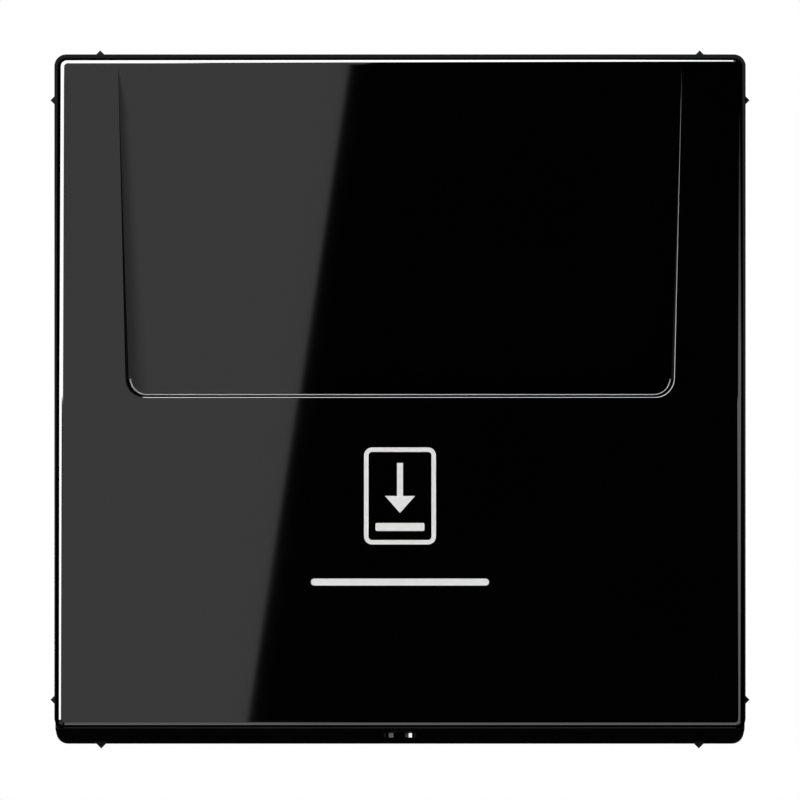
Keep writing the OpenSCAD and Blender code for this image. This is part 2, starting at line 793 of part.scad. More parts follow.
module housing_screws() color(STEEL) for (x = [-screw_x, screw_x], y = [-screw_y, screw_y]) difference() {
    union() {
        rod_z(x, y, rear_z + head_room, rear_z + screw_head_h, screw_head_d);
        rod_z(x, y, rear_z + screw_head_h - skin, tray_front + boss_h - boss_end - move_room, screw_d);
    }
    for (a = [0, 90]) translate([x, y, rear_z + head_room]) rotate([0, 0, a])
        cube([screw_head_d * recess_share, recess_w, 2 * recess_depth], center = true);
}

// Switch

module switch_rocker() color(INSERT_WHITE) {
    block(-rocker_w / 2, rocker_w / 2, rocker_bottom, rocker_top, rocker_back, rocker_z);
    mirrored_x() {
        rod_x(rocker_w / 2 - hub_l, rocker_w / 2, rocker_pivot_y, rocker_pivot_z, rocker_hub_d);
        block(rocker_w / 2 - hub_l, rocker_w / 2, rocker_pivot_y - rocker_hub_d / 2,
            rocker_pivot_y + rocker_hub_d / 2, rocker_pivot_z, rocker_back + skin);
        rod_x(rocker_w / 2 - skin, rocker_w / 2 + move_room + bearing_t,
            rocker_pivot_y, rocker_pivot_z, stub_d);
        rod_z(spring_x, spring_y, rocker_back - spring_boss_h, rocker_back + skin,
            spring_d - spring_wire - 2 * move_room);
    }
    block(-finger_w / 2, finger_w / 2, finger_y - finger_l / 2, finger_y + finger_l / 2,
        arm_top + finger_gap, rocker_back + skin);
}

module return_springs() color(SPRING_STEEL) for (x = [-spring_x, spring_x])
    translate([x, spring_y, 0]) polyhedron(points = spring_points, faces = spring_faces, convexity = 10);

module contact_arm() color(COPPER) difference() {
    union() {
        block(-arm_w / 2, arm_w / 2, arm_end, arm_pivot_y, arm_bottom, arm_top);
        rod_x(-arm_w / 2, arm_w / 2, arm_pivot_y, arm_pivot_z, arm_knuckle_d);
    }
    rod_x(-arm_w / 2 - 1, arm_w / 2 + 1, arm_pivot_y, arm_pivot_z, arm_pin_d + 2 * turn_play);
    rod_z(0, contact_y, arm_bottom - 1, arm_top + 1, contact_shank_d + 2 * pin_play);
}

module contact_pin() color(STEEL) 
    rod_x(-ear_out - pin_end, ear_out + pin_end, arm_pivot_y, arm_pivot_z, arm_pin_d);

module moving_contact() color(SILVER) {
    rod_z(0, contact_y, arm_bottom - contact_h, arm_bottom, contact_d);
    rod_z(0, contact_y, arm_bottom - skin, arm_top, contact_shank_d);
}

module fixed_contact() color(SILVER) {
    rod_z(0, contact_y, strip_top, strip_top + contact_h, contact_d);
    rod_z(0, contact_y, shelf_top, strip_top + skin, contact_shank_d);
}

// Terminals

// Wall of a terminal that the conductor is clamped against
module cage_wall(at) block(at[0] - cage_w / 2, at[0] + cage_w / 2,
    at[1] + cage_wall_y, at[1] + cage_wall_y + strip_t, cage_end, strip_top);

module line_terminal() color(COPPER) {
    cage_wall(line_at);
    block(-ear_out, ear_out, arm_pivot_y - ear_half, line_at[1] + cage_wall_y + strip_t,
        shelf_top, strip_top);
    mirrored_x() difference() {
        block(ear_in, ear_out, arm_pivot_y - ear_half, arm_pivot_y + ear_half,
            strip_top - skin, arm_pivot_z + ear_half);
        rod_x(ear_in - 1, ear_out + 1, arm_pivot_y, arm_pivot_z, arm_pin_d + 2 * pin_play);
    }
}

module load_terminal() color(COPPER) {
    cage_wall(load_at);
    layer(shelf_top, strip_top) difference() {
        union() {
            translate([load_at[0] - cage_w / 2, contact_y - contact_strip])
                square([cage_w, load_at[1] + cage_wall_y + strip_t - contact_y + contact_strip]);
            translate([-contact_over, contact_y - contact_strip])
                square([load_at[0] + contact_over, 2 * contact_strip]);
            translate([lead_x - tab_half, lead_y - tab_low])
                square([2 * tab_half, contact_y - lead_y + tab_low]);
        }
        translate([0, contact_y]) circle(d = contact_shank_d + 2 * pin_play);
    }
}

module neutral_terminal() color(COPPER) {
    cage_wall(neutral_at);
    left = neutral_at[0];
    right = -spring_x - spring_d / 2 - spring_wire / 2 - move_room;
    layer(shelf_top, strip_top) {
        translate([left - cage_w / 2, contact_y - contact_strip])
            square([cage_w, neutral_at[1] + cage_wall_y + strip_t - contact_y + contact_strip]);
        translate([left, lead_y - tab_low]) square([right - left, contact_y - lead_y + tab_low]);
        translate([left, lead_y - tab_low]) square([-lead_x + tab_half - left, 2 * tab_low]);
    }
}

// Leaf spring that clamps a conductor: a straight leg, a bend and a slanting tongue
module clamp_spring(at) color(SPRING_STEEL) translate([0, at[1], 0])
    side_profile(at[0] - leaf_w / 2, at[0] + leaf_w / 2) polygon(ribbon(concat(
        [[leaf_anchor, cage_end + leaf_foot]],
        arc(leaf_anchor + leaf_bend, shelf_back - leaf_bend_drop, leaf_bend, 180, 60),
        [[cage_wall_y - leaf_t, shelf_back - leaf_tip_drop]]
    ), leaf_t));

module release_key(at) color(KEY_ORANGE) translate([at[0], at[1], 0]) {
    block(-key_w / 2, key_w / 2, key_from, key_to, rear_z - key_proud, key_tip);
    block(-key_w / 2 - key_shoulder, key_w / 2 + key_shoulder, key_from, key_to, housing_back + fit_gap,
        housing_back + fit_gap + key_shoulder_h);
}

// Lamp

module lamp_holder() color(INSERT_GREY) difference() {
    union() {
        block(-holder_half, holder_half, body_low + tray_wall + fit_gap, holder_top,
            tray_front, flange_z + skin);
        block(-holder_half, holder_half, led_base, holder_top, flange_z, flange_z + holder_foot);
        block(-holder_half, holder_half, led_base, holder_back, flange_z, holder_front);
    }
    for (x = [-lead_x, lead_x]) rod_z(x, lead_y, tray_front - 1, lead_top + fit_gap, lead_d + 2 * pin_play);
}

module lamp() color(CLEAR, 0.7) {
    rod_y(0, led_base - led_body, led_base, guide_z, led_d);
    rod_y(0, led_base - led_flange_t, led_base, guide_z, led_flange_d);
    translate([0, led_base - led_body, guide_z]) sphere(d = led_d);
}

module lamp_leads() color(STEEL) for (x = [-lead_x, lead_x]) rod_z(x, lead_y, strip_top, lead_top, lead_d);

on_wall() front_cover();
on_wall() carrier();
on_wall() light_guide();
on_wall() card_lever();
on_wall() lever_pins();
on_wall() support_ring();
on_wall() ring_rivets();
on_wall() insert_tray();
on_wall() switch_rocker();
on_wall() return_springs();
on_wall() contact_arm();
on_wall() contact_pin();
on_wall() moving_contact();
on_wall() fixed_contact();
on_wall() line_terminal();
on_wall() load_terminal();
on_wall() neutral_terminal();
on_wall() clamp_spring(line_at);  // line_clamp_spring
on_wall() clamp_spring(load_at);  // load_clamp_spring
on_wall() clamp_spring(neutral_at);  // neutral_clamp_spring
on_wall() release_key(line_at);  // line_release_key
on_wall() release_key(load_at);  // load_release_key
on_wall() release_key(neutral_at);  // neutral_release_key
on_wall() insert_housing();
on_wall() terminal_cover();
on_wall() housing_screws();
on_wall() lamp_holder();
on_wall() lamp();
on_wall() lamp_leads();
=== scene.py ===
"""Hotel key card switch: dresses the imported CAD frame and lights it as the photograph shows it."""

import logging
import math
from dataclasses import dataclass, field
from enum import Enum, IntEnum
from typing import Any, Sequence

import bpy
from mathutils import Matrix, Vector
from mathutils.geometry import tessellate_polygon


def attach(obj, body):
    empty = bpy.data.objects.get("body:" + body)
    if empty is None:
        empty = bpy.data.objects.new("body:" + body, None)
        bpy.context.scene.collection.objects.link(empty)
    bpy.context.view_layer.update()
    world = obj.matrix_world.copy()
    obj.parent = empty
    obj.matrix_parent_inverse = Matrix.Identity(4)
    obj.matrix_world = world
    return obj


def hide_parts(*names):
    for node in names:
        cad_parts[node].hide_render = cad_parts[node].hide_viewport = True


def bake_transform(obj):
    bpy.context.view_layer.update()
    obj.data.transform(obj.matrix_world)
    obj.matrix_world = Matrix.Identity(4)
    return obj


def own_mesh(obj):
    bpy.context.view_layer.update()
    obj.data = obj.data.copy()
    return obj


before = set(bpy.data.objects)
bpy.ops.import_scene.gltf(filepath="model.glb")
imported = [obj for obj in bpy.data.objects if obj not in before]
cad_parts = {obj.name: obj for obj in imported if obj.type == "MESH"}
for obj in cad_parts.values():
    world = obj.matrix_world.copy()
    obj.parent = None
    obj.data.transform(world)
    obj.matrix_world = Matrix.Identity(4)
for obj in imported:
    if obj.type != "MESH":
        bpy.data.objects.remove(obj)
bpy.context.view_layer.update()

LOG = logging.getLogger("key_card_switch")
MM = 0.001
UP = Vector((0, 1, 0))
OUT = Vector((0, 0, 1))
# Lean of the front face
FACE_TILT = math.radians(5.1)
# Rays with which a finish rounds its edges
BEVEL_SAMPLES = 4


class Body(Enum):
    """CAD bodies that new pieces can ride on."""

    BASE = "base"
    LINE_KEY = "line_key"
    LOAD_KEY = "load_key"
    NEUTRAL_KEY = "neutral_key"


class Slot(Enum):
    """Material slots of the record, passed along with new pieces."""

    GLOSS_BLACK = "gloss_black"
    INSERT_WHITE = "insert_white"
    CLEAR_PLASTIC = "clear_plastic"
    ZINC_STEEL = "zinc_steel"
    SPRING_STEEL = "spring_steel"


class CoverPatch(IntEnum):
    """Surfaces of the front cover that have a finish of their own."""

    FACE = 0
    FLOOR = 1
    EDGE = 2
    WALL = 3


class GuidePatch(IntEnum):
    """Surfaces of the light guide that have a finish of their own: the bar, and the squares of painted
    highlight on its end.
    """

    BAR = 0
    HIGHLIGHT_GREY = 1
    HIGHLIGHT_SHADED = 2
    HIGHLIGHT_BRIGHT = 3
    HIGHLIGHT_END = 4


def linear(code: str) -> tuple[float, float, float, float]:
    """Turn an sRGB hex colour into a linear one.

    Args:
        code: Colour as #rrggbb.

    Returns:
        Linear red, green, blue and full alpha.
    """
    parts = [int(code[i:i + 2], 16) / 255 for i in (1, 3, 5)]
    red, green, blue = (c / 12.92 if c <= 0.04045 else ((c + 0.055) / 1.055) ** 2.4 for c in parts)
    return red, green, blue, 1.0


def link(name: str, data: bpy.types.ID) -> bpy.types.Object:
    """Make an object in the scene.

    Args:
        name: Its name.
        data: Its mesh, lamp or camera.

    Returns:
        The object.
    """
    made = bpy.data.objects.new(name, data)
    bpy.context.scene.collection.objects.link(made)
    return made


class NodeGraph:
    """Node tree in the making."""

    def __init__(self, tree: bpy.types.NodeTree) -> None:
        """Start with a tree."""
        self.tree = tree

    def add(self, kind: str, inputs: dict[Any, Any] | None = None, **settings: Any) -> bpy.types.Node:
        """Add a node with its settings, and set or link its inputs.

        Args:
            kind: Blender's type name of the node.
            inputs: Value, socket or list of sockets for each input, by name or number.
            **settings: Properties of the node itself.

        Returns:
            The new node.
        """
        node = self.tree.nodes.new(kind)
        for key, value in settings.items():
            setattr(node, key, value)
        for key, value in (inputs or {}).items():
            for source in value if isinstance(value, list) else [value]:
                if isinstance(source, bpy.types.NodeSocket):
                    self.tree.links.new(source, node.inputs[key])
                else:
                    node.inputs[key].default_value = source
        return node

    def math(self, operation: str, *values: Any) -> bpy.types.NodeSocket:
        """Return the result of a sum on sockets or numbers."""
        return self.add("ShaderNodeMath", dict(enumerate(values)), operation=operation).outputs[0]

    def between(self, share: bpy.types.NodeSocket, low: float, high: float) -> bpy.types.NodeSocket:
        """Return the value that lies between two others at a share of 0 to 1."""
        return self.add("ShaderNodeMapRange", {"Value": share, "To Min": low, "To Max": high}).outputs[0]


class SurfaceGraph(NodeGraph):
    """Node tree of a material, with the patterns that the finishes share."""

    def __init__(self, tree: bpy.types.NodeTree) -> None:
        """Start with the object's own coordinates."""
        super().__init__(tree)
        self.where = self.add("ShaderNodeTexCoord").outputs["Object"]

    def noise(self, size_mm: float, detail: float,
              where: bpy.types.NodeSocket | None = None) -> bpy.types.NodeSocket:
        """Add a noise.

        Args:
            size_mm: Size of one feature.
            detail: Octaves of finer noise.
            where: Coordinates, if not the object's own.

        Returns:
            Its level.
        """
        return self.add("ShaderNodeTexNoise", {
            "Vector": where or self.where, "Scale": 1 / (size_mm * MM), "Detail": detail}).outputs[0]

    def tone(self, share: bpy.types.NodeSocket, *codes: str) -> bpy.types.NodeSocket:
        """Return the mix of two colours, each as #rrggbb."""
        first, second = map(linear, codes)
        return self.add("ShaderNodeMix", {0: share, 6: first, 7: second}, data_type="RGBA").outputs[2]

    def edge(self, radius_mm: float) -> bpy.types.NodeSocket:
        """Return normals that round the edges."""
        return self.add("ShaderNodeBevel", {"Radius": radius_mm * MM}, samples=BEVEL_SAMPLES).outputs[0]


# Finishes

@dataclass(frozen=True)
class Finish:
    """A surface finish that builds its material at its first use."""

    name: str

    def material(self) -> bpy.types.Material:
        """Return the material of this finish.

        Returns:
            The material, shared by all pieces with this finish.
        """
        made = bpy.data.materials.get(self.name)
        if made is None:
            made = bpy.data.materials.new(self.name)
            made.use_nodes = True
            made.node_tree.nodes.clear()
            surface = self.shade(made.node_tree)
            NodeGraph(made.node_tree).add("ShaderNodeOutputMaterial", {"Surface": surface.outputs[0]})
        return made

    def shade(self, tree: bpy.types.NodeTree) -> bpy.types.Node:
        """Build the shader.

        Args:
            tree: Node tree of the material.

        Returns:
            The shader node.
        """
        graph = SurfaceGraph(tree)
        return graph.add("ShaderNodeBsdfPrincipled", self.surface(graph))

    def surface(self, graph: SurfaceGraph) -> dict[str, Any]:
        """Build the patterns of the surface; each kind of finish has its own.

        Args:
            graph: Node tree of the material.

        Returns:
            Value or socket for each input of the shader.
        """
        raise NotImplementedError


@dataclass(frozen=True)
class GlossBlack(Finish):
    """High-gloss black ABS from a polished mould: near black, mirror-like, with a breath of haze."""

    colour: str = "#010101"
    haze: str = "#020202"
    haze_mm: float = 14.0
    sharpest: float = 0.0135
    softest: float = 0.019
    ior: float = 1.5
    # Specular level where no shade is painted
    full: float = 0.5

    def surface(self, graph: SurfaceGraph) -> dict[str, Any]:
        """Let the haze move the tone and the gloss."""
        haze = graph.noise(self.haze_mm, detail=4.0)
        return {"Base Color": graph.tone(haze, self.colour, self.haze),
                "Roughness": graph.between(haze, self.sharpest, self.softest), "IOR": self.ior,
                "Specular IOR Level": self.mirror(graph)}

    def mirror(self, graph: SurfaceGraph) -> Any:
        """Return the specular level, the same all over the face."""
        return self.full


@dataclass(frozen=True, kw_only=True)
class PocketFloor(GlossBlack):
    """The same ABS on the pocket's floor, with painted shade beside the left wall: its mirror is dimmed
    there.
    """

    # Half the pocket's width at height 0, and the height over which that gets 1 mm wider
    half_width: float
    flare_height: float
    ramp_top: float
    # Width of the painted shade for each millimetre below the ramp's upper end, and what is added to it
    reach: float = 0.045
    least: float = 0.95
    # Depth below the ramp's upper end at which all of that is added
    begin: float = 4.0
    # Specular level at the wall, where the shade is painted
    painted_shade_specular: float = 0.24

    def mirror(self, graph: SurfaceGraph) -> bpy.types.NodeSocket:
        """Paint shade beside the left wall by dimming the mirror, over a width that grows with the pocket's
        depth.
        """
        axes = graph.add("ShaderNodeSeparateXYZ", {"Vector": graph.where}).outputs
        lean = graph.math("MULTIPLY_ADD", axes["Z"], 1 / self.flare_height, self.half_width * MM)
        away = graph.math("ADD", axes["X"], lean)
        least = graph.add("ShaderNodeMapRange", {
            "Value": axes["Z"], "From Min": self.ramp_top * MM, "From Max": (self.ramp_top - self.begin) * MM,
            "To Max": (self.ramp_top * self.reach + self.least) * MM,
            "To Min": self.ramp_top * self.reach * MM}).outputs[0]
        width = graph.math("MULTIPLY_ADD", axes["Z"], -self.reach, least)
        return graph.add("ShaderNodeMapRange", {
            "Value": away, "From Min": 0.0, "From Max": width, "To Min": self.painted_shade_specular, "To Max": self.full},
            interpolation_type="SMOOTHSTEP").outputs[0]


@dataclass(frozen=True)
class MouldedPlastic(Finish):
    """Injection moulded plastic from an eroded mould: fine grain, soft clouds of tone and rounded edges."""

    colour: str
    cloud: str
    roughness: float = 0.45
    # How far the grain moves the roughness up and down
    roughness_play: float = 0.06
    ior: float = 1.5
    specular: float = 0.5
    cloud_mm: float = 9.0
    # Eroded grain is about 0.05 mm; it is drawn coarser here so that it shows
    grain_mm: float = 0.3
    grain_depth_mm: float = 0.003
    edge_mm: float = 0.12

    def surface(self, graph: SurfaceGraph) -> dict[str, Any]:
        """Let clouds move the tone, and the grain the gloss and the relief."""
        cloud = graph.noise(self.cloud_mm, detail=3.0)
        grain = graph.noise(self.grain_mm, detail=1.0)
        play = self.roughness_play
        return {"Base Color": graph.tone(cloud, self.colour, self.cloud),
                "Roughness": graph.between(grain, self.roughness - play, self.roughness + play),
                "IOR": self.ior, "Specular IOR Level": self.specular,
                "Normal": graph.add("ShaderNodeBump", {
                    "Height": grain, "Distance": self.grain_depth_mm * MM,
                    "Normal": graph.edge(self.edge_mm)}).outputs[0]}


@dataclass(frozen=True)
class DrawnMetal(Finish):
    """Rolled or drawn metal: fine streaks along one axis, dull patches and edges that catch the light."""

    colour: str
    dull: str
    roughness: float = 0.3
    # How far the streaks move the roughness up and down
    roughness_play: float = 0.08
    streak_mm: float = 0.25
    streak_stretch: float = 12.0
    patch_mm: float = 5.0
    edge_mm: float = 0.08

    def surface(self, graph: SurfaceGraph) -> dict[str, Any]:
        """Let dull patches move the tone, and the streaks the gloss."""
        along = graph.add("ShaderNodeMapping", {
            "Vector": graph.where, "Scale": (1 / self.streak_stretch, 1.0, 1.0)}).outputs[0]
        streak = graph.noise(self.streak_mm, detail=2.0, where=along)
        patch = graph.noise(self.patch_mm, detail=3.0)
        play = self.roughness_play
        return {"Base Color": graph.tone(patch, self.colour, self.dull), "Metallic": 1.0,
                "Roughness": graph.between(streak, self.roughness - play, self.roughness + play),
                "Normal": graph.edge(self.edge_mm)}


@dataclass(frozen=True)
class ClearPlastic(Finish):
    """Clear moulded or cast plastic: see-through, with flow marks that soften it a little."""

    colour: str
    ior: float
    flow_mm: float = 2.0
    clearest: float = 0.03
    cloudiest: float = 0.12

    def surface(self, graph: SurfaceGraph) -> dict[str, Any]:
        """Let the flow marks move the clearness."""
        flow = graph.noise(self.flow_mm, detail=2.0)
        return {"Base Color": linear(self.colour), "IOR": self.ior, "Transmission Weight": 1.0,
                "Roughness": graph.between(flow, self.clearest, self.cloudiest)}


@dataclass(frozen=True)
class PaintedGlint(Finish):
    """Square on the light guide's end that is a painted highlight: a matt grey that can glow as one."""

    colour: str
    glow: float = 0.0
    ior: float = 1.58
    etch_mm: float = 0.15
    smoothest: float = 0.45
    roughest: float = 0.7

    def surface(self, graph: SurfaceGraph) -> dict[str, Any]:
        """Let the etching move the gloss."""
        etch = graph.noise(self.etch_mm, detail=1.0)
        return {"Base Color": linear(self.colour), "IOR": self.ior,
                "Roughness": graph.between(etch, self.smoothest, self.roughest),
                "Emission Color": linear("#ffffff"), "Emission Strength": self.glow}


@dataclass(frozen=True)
class CardGlow(Finish):
    """Light of the studio's cards, which shine with the level of each point."""

    def shade(self, tree: bpy.types.NodeTree) -> bpy.types.Node:
        """Build the shader from the points' levels."""
        graph = NodeGraph(tree)
        level = graph.add("ShaderNodeAttribute", attribute_name="level").outputs["Fac"]
        return graph.add("ShaderNodeEmission", {"Strength": level})


# High-gloss ABS of the front moulding: a black mirror with a faint haze
COVER_FACE = GlossBlack("gloss_black_abs")
# The edge that every card slides over, painted pale: a painted highlight along the tongue's rounding
COVER_PAINTED_HIGHLIGHT = MouldedPlastic("card_edge_painted_highlight", "#e0e0e2", "#d0d0d2", roughness=0.3, edge_mm=0.01)
# Steep ABS walls with almost no mirror: painted shade that keeps the pocket's walls and the left arm's
# rounding black, and covers the hidden inside
COVER_WALL_PAINTED_SHADE = MouldedPlastic("black_wall_painted_shade", "#020203", "#040405", specular=0.02, edge_mm=0.02)
# Black ABS from a blasted mould, dull where it is out of sight
CARRIER = MouldedPlastic("dull_black_abs", "#040404", "#070707", roughness=0.4, specular=0.06, edge_mm=0.05)
# Screen print: an opaque light grey ink film, slightly uneven from the mesh
INK = MouldedPlastic("light_grey_screen_print", "#d0d0d0", "#c8c8c8", roughness=0.55, specular=0.1,
                     cloud_mm=0.6, edge_mm=0.01)
# Moulded acetal: slippery, with a waxy sheen
LEVER = MouldedPlastic("grey_acetal", "#3c3d40", "#343538", roughness=0.36, ior=1.48)
ORANGE = MouldedPlastic("orange_acetal", "#d9772b", "#cb6b22", roughness=0.34, ior=1.48)
# Moulded polyester that stands the heat of the contacts: hard and nearly matt
WHITE = MouldedPlastic("white_polyester", "#dcdcd6", "#d3d3cc", roughness=0.4, ior=1.55)
GREY = MouldedPlastic("grey_polyester", "#8f9396", "#85898c", roughness=0.48, ior=1.55)
# Zinc plated sheet and bar steel: cool grey, with soft patches from the bath
ZINC = DrawnMetal("zinc_plated_steel", "#b9bcc0", "#a3a7ac", roughness=0.34)
# Drawn spring steel: darker and smoother, with long streaks
WIRE = DrawnMetal("spring_steel", "#9a9ca0", "#85878b", roughness=0.26, streak_stretch=20.0)
# Rolled copper strip: warm, with the marks of the rolls along it
COPPER = DrawnMetal("rolled_copper_strip", "#c27e55", "#a9653f", roughness=0.28)
# Contact silver: pale and nearly polished, with streaks in no direction
SILVER = DrawnMetal("contact_silver", "#dcdcd8", "#c6c6c0", roughness=0.2, streak_stretch=1.0)
# Cast epoxy of the lamp, clear as water
EPOXY = ClearPlastic("clear_epoxy", "#eef2f2", 1.5)
# Smoked polycarbonate, black until light comes through it
GUIDE = ClearPlastic("smoked_polycarbonate", "#1c1d1e", 1.58)
# Squares on the guide's end, etched matt greys: painted highlights, one of which glows as a painted highlight
PAINTED_GREY_GLINT = PaintedGlint("guide_painted_glint_grey", "#666668")
PAINTED_SHADED_GLINT = PaintedGlint("guide_painted_glint_shaded", "#3c3c3e")
PAINTED_BRIGHT_GLINT = PaintedGlint("guide_painted_glint_bright", "#8c8c8c", glow=0.75)
PAINTED_END_GLINT = PaintedGlint("guide_painted_glint_end", "#212123")


def paint(finish: Finish, *nodes: str) -> None:
    """Give carried-over CAD nodes a finish.

    Args:
        finish: The finish.
        *nodes: Names of the CAD nodes.
    """
    for node in nodes:
        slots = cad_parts[node].data.materials
        slots.clear()
        slots.append(finish.material())
        LOG.info("%s: %s", node, finish.name)


def declare(piece: bpy.types.Object, slot: Slot, *nodes: str) -> None:
    """Say what a finished piece stands for.

    Args:
        piece: The finished piece.
        slot: Material slot of the record; not used.
        *nodes: CAD nodes that it replaces.
    """
    if nodes:
        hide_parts(*nodes)
    LOG.info("%s: %d faces, for %s", piece.name, len(piece.data.polygons), ", ".join(nodes) or "a print")


def settle(piece: bpy.types.Object, slot: Slot, *nodes: str) -> bpy.types.Object:
    """Let a finished piece ride on the base, and say what it stands for.

    Args:
        piece: The finished piece.
        slot: Material slot of the record.
        *nodes: CAD nodes that it replaces.

    Returns:
        The piece.
    """
    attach(piece, Body.BASE.value)
    declare(piece, slot, *nodes)
    return piece


# Mesh making

Corner = tuple[Vector, Vector]


class Patchwork:
    """Mesh made of patches that share their points and carry their own corner normals.

    Points are in millimetres on the wall: x to the right, y up and z out of the wall.
    """

    # Points that are as good as one lie within a step of this grid
    STEPS_IN_MM = 20000
    # A face below this area is left out
    LEAST_AREA = 1e-8

    def __init__(self) -> None:
        """Start with no faces."""
        self.points: list[Vector] = []
        self.known: dict[tuple[int, ...], int] = {}
        self.faces: list[list[int]] = []
        self.normals: list[Vector] = []
        self.finishes: list[int] = []

    def index(self, point: Vector) -> int:
        """Return the number of a point, shared with any point at the same place."""
        key = tuple(round(c * self.STEPS_IN_MM) for c in point)
        if key not in self.known:
            self.known[key] = len(self.points)
            self.points.append(Vector(point))
        return self.known[key]

    def face(self, corners: Sequence[Corner], finish: int) -> None:
        """Add a face, turned to agree with its normals, unless it has no area.

        Args:
            corners: Points with their normals, in order around the face.
            finish: Number of its finish.
        """
        loop = [(self.index(p), n) for p, n in corners]
        loop = [c for k, c in enumerate(loop) if c[0] != loop[k - 1][0]]
        if len(loop) < 3:
            return
        first = self.points[loop[0][0]]
        arms = [self.points[i] - first for i, _ in loop[1:]]
        area = sum((a.cross(b) for a, b in zip(arms, arms[1:])), Vector())
        if area.length < self.LEAST_AREA:
            return
        if area.dot(sum((n for _, n in loop), Vector())) < 0:
            loop.reverse()
        self.faces.append([i for i, _ in loop])
        self.normals.extend(n for _, n in loop)
        self.finishes.append(finish)

    def strip(self, low: Sequence[Corner], high: Sequence[Corner], finish: int, closed: bool = False) -> None:
        """Add the quads between two rails.

        Args:
            low: Corners along one rail.
            high: Corners along the other rail.
            finish: Number of the finish.
            closed: Whether the rails run round to their start.
        """
        for i in range(len(low) if closed else len(low) - 1):
            j = (i + 1) % len(low)
            self.face([low[i], low[j], high[j], high[i]], finish)

    def flat(self, loops: Sequence[Sequence[Vector]], facing: Vector, finish: int) -> None:
        """Add a flat face with holes.

        Args:
            loops: Its outline and then its holes.
            facing: Its normal.
            finish: Number of the finish.
        """
        corners = [p for loop in loops for p in loop]
        for triangle in tessellate_polygon(loops):
            self.face([(corners[i], facing) for i in triangle], finish)

    def solid(self, low: Sequence[Vector], high: Sequence[Vector], finish: int) -> None:
        """Add a closed block between two outlines with as many points, its sides flat.

        Args:
            low: Outline of one end.
            high: Outline of the other end.
            finish: Number of the finish.
        """
        way = high[0] - low[0]
        middle = sum(low, Vector()) / len(low)
        for i in range(len(low)):
            j = (i + 1) % len(low)
            side = (low[j] - low[i]).cross(way).normalized()
            if side.dot((low[i] + low[j]) / 2 - middle) < 0:
                side.negate()
            self.face([(p, side) for p in (low[i], low[j], high[j], high[i])], finish)
        for loop, sign in ((low, -1), (high, 1)):
            cap = (loop[1] - loop[0]).cross(loop[2] - loop[1]).normalized()
            self.flat([loop], cap if cap.dot(way) * sign > 0 else -cap, finish)

    def piece(self, name: str, finishes: Sequence[Finish]) -> bpy.types.Object:
        """Make the object, with its place in its mesh.

        Args:
            name: Name of the piece.
            finishes: Finishes by number.

        Returns:
            The object.
        """
        mesh = bpy.data.meshes.new(name)
        mesh.from_pydata([(p.x * MM, -p.z * MM, p.y * MM) for p in self.points], [], self.faces)
        for finish in finishes:
            mesh.materials.append(finish.material())
        mesh.polygons.foreach_set("material_index", self.finishes)
        mesh.shade_smooth()
        mesh.normals_split_custom_set([(n.x, -n.z, n.y) for n in (v.normalized() for v in self.normals)])
        mesh.update()
        return link(name, mesh)


